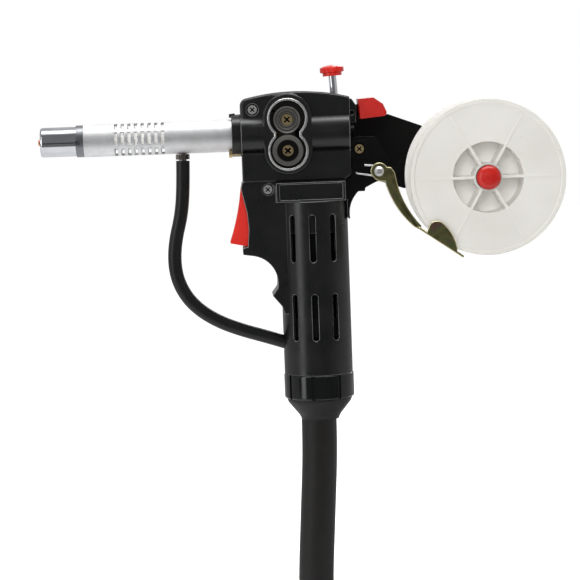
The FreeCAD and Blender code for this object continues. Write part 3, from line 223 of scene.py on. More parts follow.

# %% [markdown]
# The shells are injection moulded in glass-filled nylon. The mould was spark eroded, so the skin has a fine
# even grain that spreads highlights. Handling polishes it here and there, so the gloss wanders a little.
# The true grain is about 0.1 mm. At this picture's size that vanishes, so it is drawn at 0.5 mm.
# Edges are rounded and get their own paler finish: a painted highlight, as on edges that catch the light.

# %% Moulded black nylon
def moulded_nylon(name, dark, light, rough, bump, gleam=0.45):
    material, shader = start_material(name, IOR=1.5, Specular_IOR_Level=gleam)
    fine = grain(material, 0.5).outputs["Fac"]
    broad = grain(material, 14.0, 2.0).outputs["Fac"]
    tone = add(material, "ValToRGB", {"Fac": broad}, [(0.3, srgb(dark)), (0.75, srgb(light))])
    gloss = add(material, "MapRange", {"Value": broad, "From Min": 0.3, "From Max": 0.7,
                                       "To Min": rough - 0.04, "To Max": rough + 0.05})
    cover(material, shader, tone, gloss, fine, bump, 0.05)
    return material


shell_nylon = moulded_nylon("moulded_black_nylon", "#0E0F0F", "#141414", 0.3, 0.35)
bracket_nylon = moulded_nylon("moulded_black_nylon_matt", "#050506", "#090909", 0.42, 0.35, 0.2)
nut_nylon = moulded_nylon("polished_black_nylon", "#0B0C0D", "#101112", 0.14, 0.06)
# A paler finish for the shells' outer edges: a painted highlight.
nylon_edge_highlight = moulded_nylon("black_nylon_painted_edge_highlight", "#5C5D5D", "#727372", 0.24, 0.1, 0.8)
print("materials so far:", len(bpy.data.materials))

# %% [markdown]
# The trigger, the knob, the lever and the spool's cap are red ABS, a smoother and glossier plastic.
# Its colour is even, so only a faint mottle and a soft gloss change keep it from looking painted on.

# %% Red ABS
def red_abs(name, dark, light):
    material, shader = start_material(name, IOR=1.5, Coat_Weight=0.1, Coat_Roughness=0.12)
    broad = grain(material, 8.0, 2.0).outputs["Fac"]
    tone = add(material, "ValToRGB", {"Fac": broad}, [(0.25, srgb(dark)), (0.8, srgb(light))])
    gloss = add(material, "MapRange", {"Value": broad, "To Min": 0.26, "To Max": 0.38})
    cover(material, shader, tone, gloss, grain(material, 0.6).outputs["Fac"], 0.15, 0.05)
    return material


bright_red = red_abs("moulded_red_abs", "#CC1C10", "#D82616")
deep_red = red_abs("moulded_deep_red_abs", "#AC120A", "#BA180E")
print("materials so far:", len(bpy.data.materials))

# %% [markdown]
# Metals. A metal's look is its reflection, so each finish is mostly a colour and a roughness, and the tool
# marks decide how the reflection breaks up: turned parts carry rings about their axis, drawn wire is streaked
# along its length, plated parts are nearly a mirror. A stretch below 1 draws the marks out along that axis.

# %% Metals
RINGS_ABOUT_X = (1, 0.02, 0.02)
RINGS_ABOUT_Y = (0.1, 1, 0.1)
STREAKS_ALONG_X = (0.05, 1, 1)
STREAKS_ALONG_Z = (1, 1, 0.1)
DULLED = 0.86


def metal(name, colour, rough, mark_mm=0.6, stretch=EVEN, bump=0.1, spread=0.06):
    """Spread is how far the roughness wanders about rough."""
    material, shader = start_material(name, Metallic=1.0)
    marks = grain(material, mark_mm, 4.0, stretch).outputs["Fac"]
    broad = grain(material, 9.0, 2.0).outputs["Fac"]
    base = srgb(colour)
    dull = [c * DULLED for c in base[:3]] + [1.0]
    tone = add(material, "ValToRGB", {"Fac": broad}, [(0.3, dull), (0.7, base)])
    gloss = add(material, "MapRange", {"Value": marks, "From Min": 0.3, "From Max": 0.7,
                                       "To Min": max(rough - spread, 0.02), "To Max": rough + spread})
    cover(material, shader, tone, gloss, marks, bump, 0.03)
    return material


chrome = metal("chrome_plated_steel", "#D9DBE0", 0.05, 0.5, STREAKS_ALONG_X, 0.03, 0.02)
satin_aluminium = metal("satin_anodised_aluminium", "#F0F1F2", 0.58, 0.35, RINGS_ABOUT_X, 0.12, 0.05)
bead_blasted = metal("bead_blasted_steel", "#8E9094", 0.42, 0.4, bump=0.25)
ground_steel = metal("ground_steel", "#8F8F8E", 0.3, 0.4, RINGS_ABOUT_Y, 0.12)
zinc_screw = metal("yellow_zinc_screw", "#E6CFA0", 0.46, 0.5, bump=0.08)
bright_steel = metal("bright_steel", "#F6F6F5", 0.44, 0.5, bump=0.08)
nickel_plate = metal("dull_nickel_plate", "#8C8680", 0.24, 0.5, bump=0.08, spread=0.05)
brass = metal("turned_brass", "#C9A45A", 0.28, 0.4, STREAKS_ALONG_Z)
copper = metal("turned_copper", "#D98A55", 0.28, 0.4, RINGS_ABOUT_X)
motor_can = metal("blackened_motor_can", "#242527", 0.5)
black_anodised = metal("black_anodised_aluminium", "#1C1C1D", 0.4)
# A dark finish for screw recesses and wells: painted shade.
recess_painted_shade = metal("painted_shade_in_recesses", "#2A2620", 0.6, 0.5)
print("materials so far:", len(bpy.data.materials))

# %% [markdown]
# The feed rollers are turned from bar and blackened. The lathe leaves rings about the axle. The rim is ground
# afterwards: the pale rings are partly that bright steel and partly painted highlight, and the dark rings,
# round the screw and between, are partly the blackened steel and partly painted shade. The tone is read from
# the distance to the axle, so the rings stay on the roller as it turns. Stops are radii in mm.

# %% Turned rollers
DRIVE_AXIS, IDLER_AXIS = (-15.2, -10.7), (-15.2, 9.3)
ROLLER_REACH = 12.0
ROLLER_ROUGHNESS = 0.34
TOOL_RING = 0.55


def turned_roller(name, axis, rings):
    material, shader = start_material(name, Metallic=1.0)
    radius = from_axis(material, *axis)
    part = add(material, "Math", {0: radius, 1: ROLLER_REACH}, operation="DIVIDE").outputs["Value"]
    tone = add(material, "ValToRGB", {"Fac": part}, [(at / ROLLER_REACH, srgb(code)) for at, code in rings])
    turn = add(material, "Math", {0: radius, 1: 2 * math.pi / TOOL_RING}, operation="MULTIPLY")
    wave = add(material, "Math", {0: turn.outputs["Value"]}, operation="SINE")
    gloss = add(material, "MapRange", {"Value": grain(material, 1.5).outputs["Fac"],
                                       "To Min": ROLLER_ROUGHNESS - 0.08, "To Max": ROLLER_ROUGHNESS + 0.1})
    cover(material, shader, tone, gloss, wave.outputs["Value"], 0.3, 0.03)
    return material


# Dark stops are partly blackened steel and partly painted shade; pale stops are partly ground steel and
# partly painted highlight.
drive_steel = turned_roller("turned_drive_roller", DRIVE_AXIS, [
    (3.0, "#3C3B38"), (6.4, "#3A3A39"), (6.9, "#4A4A48"), (7.2, "#C0BEB8"), (9.3, "#D2D0C9"),
    (9.8, "#E8E6E0")])
idler_steel = turned_roller("turned_idler_roller", IDLER_AXIS, [
    (3.8, "#4A4946"), (4.5, "#DAD8D2"), (5.0, "#5B5A57"), (5.6, "#B8B6B0"), (6.6, "#C4C2BB"),
    (6.9, "#4E4D4A"), (7.3, "#A8A6A0"), (8.5, "#F0EEE8")])
print("materials so far:", len(bpy.data.materials))

# %% [markdown]
# The roller window is the mouth of a die casting. Only its end is machined, so the rim is pale. The walls
# behind it are painted darker: painted shade, as of the shadow inside the window. The tone changes within
# half a millimetre of the machined face.

# %% Die casting with a machined mouth and painted shade
MACHINED_FACE, SHADED_WALL = -20.7, -20.1


def machined_mouth():
    material, shader = start_material("machined_die_casting", Metallic=1.0)
    # Deeper into the window the tone darkens: painted shade.
    inside = depth(material, MACHINED_FACE, SHADED_WALL)
    tone = add(material, "ValToRGB", {"Fac": inside}, [(0.0, srgb("#DADBDC")), (1.0, srgb("#5B5A58"))])
    marks = grain(material, 0.8).outputs["Fac"]
    gloss = add(material, "MapRange", {"Value": marks, "To Min": 0.2, "To Max": 0.42})
    cover(material, shader, tone, gloss, marks, 0.15, 0.03)
    return material


casting_with_painted_shade = machined_mouth()
# A paler finish for the casting's outer edges: a painted highlight.
casting_edge_highlight = metal("die_casting_painted_edge_highlight", "#EDEDEC", 0.3)
print("materials so far:", len(bpy.data.materials))

# %% [markdown]
# The brake arm is pressed steel with a yellow zinc passivate. The film is thinner than light's wavelength in
# places, so it shimmers from olive through gold to a touch of violet and green. Broad noise picks the hue.
# The edges get a paler finish: a painted highlight, as on sheet edges that catch the light.

# %% Yellow zinc passivate
FILM_HUES = [(0.25, "#6E6A48"), (0.42, "#7C7A52"), (0.5, "#958C62"), (0.58, "#7E8A5C"), (0.68, "#93736A"),
             (0.8, "#726C48")]


def yellow_passivate():
    material, shader = start_material("yellow_zinc_passivate", Metallic=1.0)
    film = grain(material, 9.0, 4.0).outputs["Fac"]
    tone = add(material, "ValToRGB", {"Fac": film}, [(at, srgb(code)) for at, code in FILM_HUES])
    marks = grain(material, 0.7, 4.0).outputs["Fac"]
    gloss = add(material, "MapRange", {"Value": marks, "To Min": 0.34, "To Max": 0.5})
    cover(material, shader, tone, gloss, marks, 0.15, 0.04)
    return material


passivate = yellow_passivate()
# A paler finish for the brake arm's edges: a painted highlight.
passivate_edge_highlight = metal("yellow_zinc_painted_edge_highlight", "#E2D9AE", 0.4)
print("materials so far:", len(bpy.data.materials))

# %% [markdown]
# The spool is natural ABS without pigment: milky, a little clear, so light enters a flange, scatters
# and leaves softly. Subsurface scattering gives that glow over a millimetre or two.
# The mould fills from the middle outwards, which leaves faint cloudy flow marks about 30 mm across.
# The flange's outer face keeps the plain tone. Behind it, in the recess, the tone is paler: painted light,
# which lifts the recess out of its shade.

# %% Natural plastic
PAINTED_LIGHT_START, PAINTED_LIGHT_FULL = -22.2, -20.0


def natural_plastic(name, glow):
    material, shader = start_material(name, IOR=1.5, Subsurface_Weight=glow,
                                      Subsurface_Radius=(1.0, 0.95, 0.85), Subsurface_Scale=1.0 * MM)
    broad = grain(material, 30.0, 2.0).outputs["Fac"]
    cloud = add(material, "MapRange", {"Value": broad, "From Min": 0.3, "From Max": 0.7, "To Max": 0.4})
    # Painted light: deeper into the recess the tone grows paler.
    recessed = depth(material, PAINTED_LIGHT_START, PAINTED_LIGHT_FULL)
    behind = add(material, "Math", {0: cloud.outputs["Result"], 1: recessed}, operation="MAXIMUM")
    tone = add(material, "ValToRGB", {"Fac": behind.outputs["Value"]},
               [(0.0, srgb("#D6D4CE")), (0.4, srgb("#DEDCD7")), (1.0, srgb("#FAF8F4"))])
    gloss = add(material, "MapRange", {"Value": broad, "To Min": 0.3, "To Max": 0.45})
    drive(material, shader, Base_Color=tone.outputs["Color"], Roughness=gloss.outputs["Result"])
    return material


spool_plastic = natural_plastic("natural_unpigmented_abs", 0.25)
raised_plastic = natural_plastic("natural_unpigmented_abs_thin", 0.0)
sleeve_white = natural_plastic("white_ptfe_sleeve", 0.0)
print("materials so far:", len(bpy.data.materials))

# %% [markdown]
# The cable's jacket, the gas hose and the cone are rubber. An extruder's die or a mould leaves it smooth, and
# it takes on a greyish bloom within weeks, so the surface is dull and a little uneven in tone.

# %% Black rubber
def black_rubber(name, dark, bloom, rough):
    material, shader = start_material(name, IOR=1.5, Specular_IOR_Level=0.35)
    broad = grain(material, 10.0, 3.0).outputs["Fac"]
    tone = add(material, "ValToRGB", {"Fac": broad}, [(0.3, srgb(dark)), (0.8, srgb(bloom))])
    gloss = add(material, "MapRange", {"Value": broad, "To Min": rough - 0.06, "To Max": rough + 0.08})
    cover(material, shader, tone, gloss, grain(material, 0.8).outputs["Fac"], 0.25, 0.08)
    return material


jacket = black_rubber("extruded_cable_jacket", "#0E0C0B", "#151312", 0.5)
hose_rubber = black_rubber("extruded_hose_rubber", "#0E0F0F", "#151515", 0.36)
cone_rubber = black_rubber("moulded_cone_rubber", "#0C0B0A", "#12100F", 0.48)
print("materials so far:", len(bpy.data.materials))

# %% [markdown]
# Every real edge is slightly round and catches a thin line of light. A Bevel modifier gives that rounding.
# On the shells, the brake arm and the casting the outer edges get a paler finish of their own, a painted
# highlight, so there only the edges that stand out are weighted for the bevel: no painted highlight lies in a
# corner.

# %% Soft edges
SHARP, HIGHLIGHTED_SHARP = 32, 50
EDGE_SEGMENTS = 2


def mark_outer_edges(mesh, angle):
    """Weights the edges that stand out and are sharper than angle, in degrees."""
    shape = bmesh.new()
    shape.from_mesh(mesh)
    weight = mesh.attributes.new("bevel_weight_edge", "FLOAT", "EDGE")
    for line in shape.edges:
        outer = len(line.link_faces) == 2 and line.is_convex and line.calc_face_angle() > math.radians(angle)
        weight.data[line.index].value = float(outer)
    shape.free()


def soften(piece, width_mm, angle=SHARP, edge=None):
    """Rounds the edges sharper than angle, and shades the rest smooth. Edge is a paler finish for the
    rounding, a painted highlight.
    """
    if width_mm:
        bevel = piece.modifiers.new("edges", "BEVEL")
        bevel.width = width_mm * MM
        bevel.segments = EDGE_SEGMENTS
        bevel.limit_method = "ANGLE"
        bevel.angle_limit = math.radians(angle)
        bevel.use_clamp_overlap = edge is None
        if edge:
            mark_outer_edges(piece.data, angle)
            bevel.limit_method = "WEIGHT"
            piece.data.materials.append(edge)
            bevel.material = len(piece.data.materials) - 1
    for face in piece.data.polygons:
        face.use_smooth = True
    piece.data.set_sharp_from_angle(angle=math.radians(angle))
    if width_mm:
        weighted = piece.modifiers.new("normals", "WEIGHTED_NORMAL")
        weighted.keep_sharp = True
    return piece


print("edges are rounded in", EDGE_SEGMENTS, "steps")

# %% [markdown]
# The CAD nodes arrive as loose triangles. A copy is merged, its flat faces are joined again, and its edges
# are softened. The copy then stands for its node. Where a node's own shape is right, nothing else is needed.


def new_piece(name, shape, material, body, width_mm=0.0, angle=SHARP, edge=None):
    """Makes an object from a bmesh, gives it its finish and lets it ride on a body."""
    mesh = bpy.data.meshes.new(name)
    shape.to_mesh(mesh)
    shape.free()
    piece = bpy.data.objects.new(name, mesh)
    bpy.context.scene.collection.objects.link(piece)
    mesh.materials.append(material)
    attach(piece, body)
    return soften(piece, width_mm, angle, edge)


def merged(node):
    """A bmesh of a CAD node with its loose triangles joined into faces."""
    shape = bmesh.new()
    shape.from_mesh(frame["nodes"][node].data)
    bmesh.ops.remove_doubles(shape, verts=shape.verts, dist=0.002 * MM)
    bmesh.ops.dissolve_limit(shape, angle_limit=math.radians(0.6), verts=shape.verts, edges=shape.edges)
    return shape


def dress(node, material, width_mm=0.25, angle=SHARP, edge=None):
    body = body_of(frame["nodes"][node])[0]
    piece = new_piece(node + "_dressed", merged(node), material, body, width_mm, angle, edge)
    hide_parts(node)
    return piece


# %% [markdown]
# Most nodes need only a finish and the width of their rounding in millimetres. Screws, the barrel and the
# cords follow in cells of their own.

# %% The finish of each node
FINISHES = [
    (shell_nylon, 0.32, ["head_shell_left", "head_shell_right", "handle_shell_left", "handle_shell_right"]),
    (shell_nylon, 0.2, ["clamp_collar", "microswitch", "gearbox", "barrel_insulator"]),
    (bracket_nylon, 0.4, ["spool_bracket"]),
    (nut_nylon, 0.3, ["gland_nut"]),
    (cone_rubber, 0.4, ["strain_relief"]),
    (bright_red, 0.35, ["trigger", "tension_knob"]),
    (deep_red, 0.35, ["thumb_lever", "spool_cap"]),
    (chrome, 0.1, ["nozzle", "tension_rod"]),
    (black_anodised, 0.3, ["pressure_arm", "arm_pivot_pin"]),
    (bead_blasted, 0.12, ["nozzle_ring", "swivel_nut", "spring_seat"]),
    (casting_with_painted_shade, 0.4, ["feeder_frame"]),
    (drive_steel, 0.12, ["drive_roller"]),
    (idler_steel, 0.12, ["idler_roller"]),
    (ground_steel, 0.12, ["worm_shaft", "drive_shaft", "idler_pin"]),
    (bright_steel, 0.08, ["trigger_pin", "brake_rivet"]),
    (bright_steel, 0.0, ["tension_spring", "trigger_spring", "brake_spring"]),
    (brass, 0.08, ["gas_diffuser", "conductor_tube", "wire_outlet_guide", "worm_wheel", "shaft_bush"]),
    (nickel_plate, 0.15, ["gas_nipple"]),
    (copper, 0.08, ["contact_tip"]),
    (zinc_screw, 0.3, ["collar_screw"]),
    (motor_can, 0.2, ["motor"]),
    (passivate, 0.5, ["brake_arm"]),
    (spool_plastic, 0.25, ["spool"]),
    (bracket_nylon, 0.15, ["spool_axle", "spool_washer", "wire_inlet_guide"]),
]
# The paler edge finishes, painted highlights, of three materials.
EDGES = {"moulded_black_nylon": nylon_edge_highlight, "yellow_zinc_passivate": passivate_edge_highlight,
         "machined_die_casting": casting_edge_highlight}
dressed = {}
for material, width, names in FINISHES:
    for name in names:
        edge = EDGES.get(material.name)
        dressed[name] = dress(name, material, width, HIGHLIGHTED_SHARP if edge else SHARP, edge)
print("dressed", len(dressed), "nodes")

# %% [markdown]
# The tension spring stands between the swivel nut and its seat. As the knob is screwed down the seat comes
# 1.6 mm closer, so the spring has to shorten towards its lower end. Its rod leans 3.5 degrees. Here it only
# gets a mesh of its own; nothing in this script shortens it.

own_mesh(dressed["tension_spring"])

# %% [markdown]
# The screws have cross recesses, cold headed by a punch. The recesses get a dark finish, painted shade, so
# the crosses read as dark lines on a bright head. The recess is the part of the head that faces outwards but
# lies below its face: those faces, and the small walls round them, get the painted shade.

# %% Screws with dark recesses
RECESS_PART = 0.55
TOWARDS_CAMERA, TOWARDS_SPOOL = (0, -1, 0), (1, 0, 0)
SCREWS = [
    ("drive_roller_screw", zinc_screw, TOWARDS_CAMERA, 2.1),
    ("idler_screw", zinc_screw, TOWARDS_CAMERA, 1.6),
    ("shell_screws", bright_steel, TOWARDS_CAMERA, 1.3),
    ("bracket_screws", zinc_screw, TOWARDS_SPOOL, 1.4),
    ("cheek_screw", zinc_screw, TOWARDS_CAMERA, 1.5),
]


def islands(shape):
    """The separate solids of a bmesh, each as its list of faces."""
    left, found = set(shape.faces), []
    while left:
        grown = [left.pop()]
        for face in grown:
            near = {other for vert in face.verts for other in vert.link_faces} & left
            left -= near
            grown += near
        found.append(grown)
    return found


def dress_screw(node, material, outward, recess_mm):
    """Outward points out of the head, whose recess is recess_mm deep. The head's edges are rounded."""
    piece = dress(node, material, 0.0)
    piece.data.materials.append(recess_painted_shade)
    out = Vector(outward)
    shape = bmesh.new()
    shape.from_mesh(piece.data)
    count = 0
    for faces in islands(shape):
        top = max(vert.co.dot(out) for face in faces for vert in face.verts)
        for face in faces:
            below = top - face.calc_center_median().dot(out)
            flat, upright = face.normal.dot(out) > 0.9, abs(face.normal.dot(out)) < 0.1
            bottom = flat and abs(below - recess_mm * MM) < 0.05 * MM
            wall = upright and abs(below - recess_mm / 2 * MM) < 0.1 * MM
            if bottom or wall:
                face.material_index = 1
                count += 1
    shape.to_mesh(piece.data)
    shape.free()
    print(node, "recess faces:", count)
    return soften(piece, 0.3, 50)


for node, finish, outward, head_mm in SCREWS:
    dress_screw(node, finish, outward, head_mm * RECESS_PART)

# %% [markdown]
# Three of the screws sit in wells of the plastic parts. Their walls and floors take the dark finish too, as
# painted shade. Each well is given by its middle, the depth of its mouth and its radius.

# %% Dark wells
WELLS = {
    "head_shell_left": (-37.2, -14.4, 16.4, 3.9),
    "handle_shell_left": (-29.1, -12.0, -35.2, 3.7),
    "spool_bracket": (30.8, -9.9, -11.2, 4.0),
}

for name, (x, mouth, z, radius) in WELLS.items():
    shell = dressed[name].data
    shell.materials.append(recess_painted_shade)
    count = 0
    for face in shell.polygons:
        off = face.center / MM - Vector((x, 0, z + BARREL_HEIGHT))
        if math.hypot(off.x, off.z) < radius and mouth < off.y < 0:
            face.material_index = len(shell.materials) - 1
            count += 1
    print(name, "well faces:", count)

# %% [markdown]
# Three walls are turned about an axis: the slotted barrel and two sleeves. Each starts as one line of points,
# which is spun a full circle. Doubles are merged and the normals set before a wall gets its thickness.

# %% A wall turned about an axis
def spun(points, axis, steps):
    """A surface from a line of points, turned full circle about an axis through the place 0, 0, 0."""
    shape = bmesh.new()
    line = [shape.verts.new(point) for point in points]
    for near, far in zip(line, line[1:]):
        shape.edges.new((near, far))
    bmesh.ops.spin(shape, geom=shape.verts[:] + shape.edges[:], cent=place(0, 0, 0), axis=axis,
                   angle=2 * math.pi, steps=steps, use_merge=True)
    bmesh.ops.remove_doubles(shape, verts=shape.verts, dist=0.01 * MM)
    bmesh.ops.recalc_face_normals(shape, faces=shape.faces)
    return shape


ALONG_BARREL, ALONG_GRIP = (1, 0, 0), (0, 0, 1)
print("walls are turned about", ALONG_BARREL, "and", ALONG_GRIP)

# %% [markdown]
# The barrel is an aluminium tube with cooling slots sawn through its wall: eight side by side, in six rows
# round it. The solid tube has plain grooves in their place. Here one line along the tube is spun, the slots'
# faces are left out, and what remains gets the wall's thickness.

# %% Slotted barrel
BARREL_RADIUS, BARREL_WALL = 10.4, 1.6
FRONT_END, REAR_END = -146.2, -41.0
FIRST_SLOT, SLOT_PITCH, SLOT_WIDTH, SLOTS = -125.4, 4.3, 2.1, 8
ROWS, ROW_TILT, HALF_SLOT = 6, 4.0, 24.0
BARREL_STEPS = 90


def in_slot(face):
    """True where the saw went through. The angle is 0 towards the camera and grows upwards."""
    spot = (face.calc_center_median() - place(0, 0, 0)) / MM
    turn = math.degrees(math.atan2(spot.z, -spot.y)) - ROW_TILT
    row = (turn + 180 / ROWS) % (360 / ROWS) - 180 / ROWS
    number = round((spot.x - FIRST_SLOT) / SLOT_PITCH)
    along = spot.x - FIRST_SLOT - number * SLOT_PITCH
    return abs(row) < HALF_SLOT and 0 <= number < SLOTS and abs(along) < SLOT_WIDTH / 2


middles = [FIRST_SLOT + SLOT_PITCH * number for number in range(SLOTS)]
sawn = [middle + side * SLOT_WIDTH / 2 for middle in middles for side in (-1, 1)]
outline = [place(x, 0, BARREL_RADIUS) for x in [FRONT_END] + sawn + [REAR_END]]
barrel = spun(outline, ALONG_BARREL, BARREL_STEPS)
cut_away = [face for face in barrel.faces if in_slot(face)]
bmesh.ops.delete(barrel, geom=cut_away, context="FACES")
bmesh.ops.solidify(barrel, geom=barrel.faces, thickness=BARREL_WALL * MM)
barrel_tube = new_piece("slotted_barrel", barrel, satin_aluminium, "gun", 0.12)
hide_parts("barrel_tube")
reach = max((vert.co - place(vert.co.x / MM, 0, 0)).length for vert in barrel_tube.data.vertices)
print("slot faces cut away:", len(cut_away), "outer radius:", round(reach / MM, 2))

# %% [markdown]
# Two thin sleeves can be seen through openings. Inside the barrel the current's conductor runs in a white
# insulating sleeve, which is what shows through the slots. Round the motor's foot stands a black sheet just
# inside the grip's lower slots: painted shade, which keeps them dark inside.

# %% A white sleeve and a sheet of painted shade
CONDUCTOR_SLEEVE_RADIUS, SLEEVE_FRONT, SLEEVE_REAR = 5.6, -142.5, -62.0
SHADE_SHEET_RADIUS, SHADE_SHEET_TOP, SHADE_SHEET_FOOT, SHADE_SHEET_THICKNESS = 18.7, -119.0, -131.6, 0.4

sleeve_line = [place(x, 0, CONDUCTOR_SLEEVE_RADIUS) for x in (SLEEVE_FRONT, SLEEVE_REAR)]
white_sleeve = new_piece("conductor_sleeve", spun(sleeve_line, ALONG_BARREL, 48), sleeve_white, "gun")

# A black sheet of painted shade, just inside the grip's lower slots.
shade_sheet_shape = spun([place(SHADE_SHEET_RADIUS, 0, z) for z in (SHADE_SHEET_TOP, SHADE_SHEET_FOOT)], ALONG_GRIP, 64)
bmesh.ops.solidify(shade_sheet_shape, geom=shade_sheet_shape.faces, thickness=SHADE_SHEET_THICKNESS * MM)
shade_sheet_black = moulded_nylon("black_painted_shade_sheet", "#0A0A0A", "#0E0E0E", 0.7, 0.4, 0.2)
shade_sheet_piece = new_piece("painted_shade_sheet_round_motor", shade_sheet_shape, shade_sheet_black, "gun")
print("sleeve faces:", len(white_sleeve.data.polygons), len(shade_sheet_piece.data.polygons))

# %% [markdown]
# A cord is a NURBS curve through a few listed points, which bends as evenly as a real cable does, with a
# round section. The same helper makes the cable and the gas hose.

# %% A round cord
CORD_SIDES = 8


def cord(name, points, radius_mm, material):
    """A round cord along a smooth NURBS line with the points as its control points."""
    curve = bpy.data.curves.new(name, "CURVE")
    curve.dimensions = "3D"
    curve.bevel_depth = radius_mm * MM
    curve.bevel_resolution = CORD_SIDES
    curve.use_fill_caps = True
    spline = curve.splines.new("NURBS")
    spline.points.add(len(points) - 1)
    for spot, point in zip(spline.points, points):
        spot.co = (*place(*point), 1.0)
    spline.order_u = 3
    spline.use_endpoint_u = True
    spline.resolution_u = 6
    curve.materials.append(material)
    piece = bpy.data.objects.new(name, curve)
    bpy.context.scene.collection.objects.link(piece)
    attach(piece, "gun")
    return piece


print("a cord is rounded in", CORD_SIDES, "steps a quarter")

# %% [markdown]
# The cable is a fixed length of stiff rubber: 3 m, of which the picture shows about the first 100 mm. It
# drops from the cone, and the rest is put away as a coil on the floor behind the gun. The coil spirals in on
# the floor, climbs onto itself halfway and spirals out on top. There the plug's end falls back to the floor.

# %% The cable's route
CABLE_RADIUS = 11.5
FLOOR_RUN = -415.0
CABLE = [(-0.9, 0, -186.5), (-0.9, 0, -206.5), (-3.3, 0, -243.0), (-8.4, 0, -319.6), (7.0, 0, -363.0),
         (38.4, 0, -396.6), (80.6, 0, FLOOR_RUN), (126.6, 0, FLOOR_RUN)]
COIL_TURNS = 3.5
COIL_PITCH = 2 * CABLE_RADIUS + 0.6
COIL_OUTSIDE = 136.1
COIL_START = 126.6 + 2 * CABLE_RADIUS
COIL_EASE = 0.35
POINTS_PER_TURN = 24
PLUG_FALL = (COIL_PITCH + CABLE_RADIUS) - 24.0
TAIL = [(0.0, 0.0), (30.0, 0.0), (55.0, 0.5), (80.0, 1.0), (100.0, 1.0), (123.0, 1.0)]


def coil_point(angle):
    """The cable's middle after an angle of winding."""
    half = COIL_TURNS * math.pi
    inward = math.hypot(half, COIL_EASE) - math.hypot(angle - half, COIL_EASE)
    radius = COIL_OUTSIDE - COIL_PITCH * inward / (2 * math.pi)
    climb = min(max((angle - half) / math.pi + 0.5, 0.0), 1.0)
    rise = COIL_PITCH * climb * climb * (3 - 2 * climb)
    # a spline cuts inside its points, so they stand a little further out
    radius /= math.cos(math.pi / POINTS_PER_TURN)
    heading = angle - math.pi / 2
    x, y = COIL_START + radius * math.cos(heading), COIL_OUTSIDE + radius * math.sin(heading)
    return (x, y, FLOOR_RUN + rise)


whole = COIL_TURNS * 2 * math.pi
steps = int(COIL_TURNS * POINTS_PER_TURN)
coil = [coil_point(whole * (number + 0.5) / steps) for number in range(steps)]
last, before = Vector(coil_point(whole)), Vector(coil_point(whole - 0.001))
aim = (last - before).normalized()
aim.z = 0
tail = [last + aim * run - Vector((0, 0, PLUG_FALL * fall)) for run, fall in TAIL]
route = CABLE + [(COIL_START, 0, FLOOR_RUN)] + coil + [tuple(point) for point in tail]
print("cable points:", len(route))

# %% [markdown]
# The cable stands for two CAD nodes, its hanging part and its coil. The tie and the plug go with it.

# %% The cable
cable = cord("torch_cable", route, CABLE_RADIUS, jacket)
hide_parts("cable", "cable_coil")
tie = dress("coil_tie", bracket_nylon, 0.3)
plug = [dress("plug_body", shell_nylon, 0.5), dress("plug_nut", bright_steel, 0.4),
        dress("plug_pin", brass, 0.2)]
print("pieces that go with the cable:", len(plug) + 1)

# %% [markdown]
# A short rubber hose carries the gas from the grip to the barrel. It is held at both ends and stiff enough to
# keep the sweep it was given, so it hangs forward of the trigger in one even bow.

# %% The gas hose
HOSE = [(-83.1, 0, -15.0), (-83.6, 0, -33.0), (-85.6, 0, -50.5), (-89.9, 0, -66.0), (-91.3, 0, -80.0),
        (-89.6, 0, -92.5), (-84.0, 0, -104.0), (-75.0, 0, -113.4), (-62.0, 0, -121.4), (-47.0, 0, -127.2),
        (-32.5, 0, -131.6), (-18.5, 0, -136.4)]
HOSE_RADIUS = 4.4

hose = cord("gas_hose_bow", HOSE, HOSE_RADIUS, hose_rubber)
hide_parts("gas_hose")
print("hose points:", len(HOSE))

# %% [markdown]
# The spool's flange shows where its mould's pins and gate touched it: small raised discs and two short ribs.
# They are a fifth of a millimetre high, and only their edges catch the light. Each disc is given by its place
# from the spool's middle and its radius, and each rib by its place.

# %% Moulding marks on the spool
SPOOL = (112.0, -32.0)
FLANGE_FACE = -22.5
MARK_THICKNESS, MARK_SUNK = 0.3, 0.05
DISCS = [(34.2, -24.2, 0.9), (21.4, 24.6, 0.7), (33.0, 30.6, 0.5)]
RIBS = [(-0.4, 33.8), (-3.6, -28.6)]
RIB_WIDTH, RIB_LENGTH = 0.7, 5.0


def on_flange(across, up):
    """Moves a shape from the origin to a place on the flange, given from the spool's middle."""
    return Matrix.Translation(place(SPOOL[0] + across, FLANGE_FACE - MARK_SUNK, SPOOL[1] + up))


marks = bmesh.new()
for across, up, radius in DISCS:
    made = bmesh.ops.create_cone(marks, cap_ends=True, segments=24, radius1=radius * MM,
                                 radius2=radius * 0.8 * MM, depth=MARK_THICKNESS * MM)
    facing = on_flange(across, up) @ Matrix.Rotation(math.pi / 2, 4, "X")
    bmesh.ops.transform(marks, matrix=facing, verts=made["verts"])
for across, up in RIBS:
    made = bmesh.ops.create_cube(marks, size=1.0)
    size = Matrix.Diagonal((RIB_WIDTH * MM, MARK_THICKNESS * MM, RIB_LENGTH * MM, 1.0))
    bmesh.ops.transform(marks, matrix=on_flange(across, up) @ size, verts=made["verts"])
bmesh.ops.recalc_face_normals(marks, faces=marks.faces)
moulding_marks = new_piece("spool_moulding_marks", marks, raised_plastic, "spool", 0.06)
print("marks on the spool's face:", len(moulding_marks.data.polygons), "faces")

# %% [markdown]
# The room is a product studio: a white paper table, pale walls behind and beside it and a lit strip of
# ceiling, with the dim room in front. That room is what gives chrome its dark band and black plastic its
# depth, so the reflections need it. The camera sees white everywhere, as it would in front of such a table.
# A direction's three parts decide how bright a mirror finds the room there.

# %% The room
DIM_ROOM = 0.19
DIFFUSE_LEVEL = 0.3

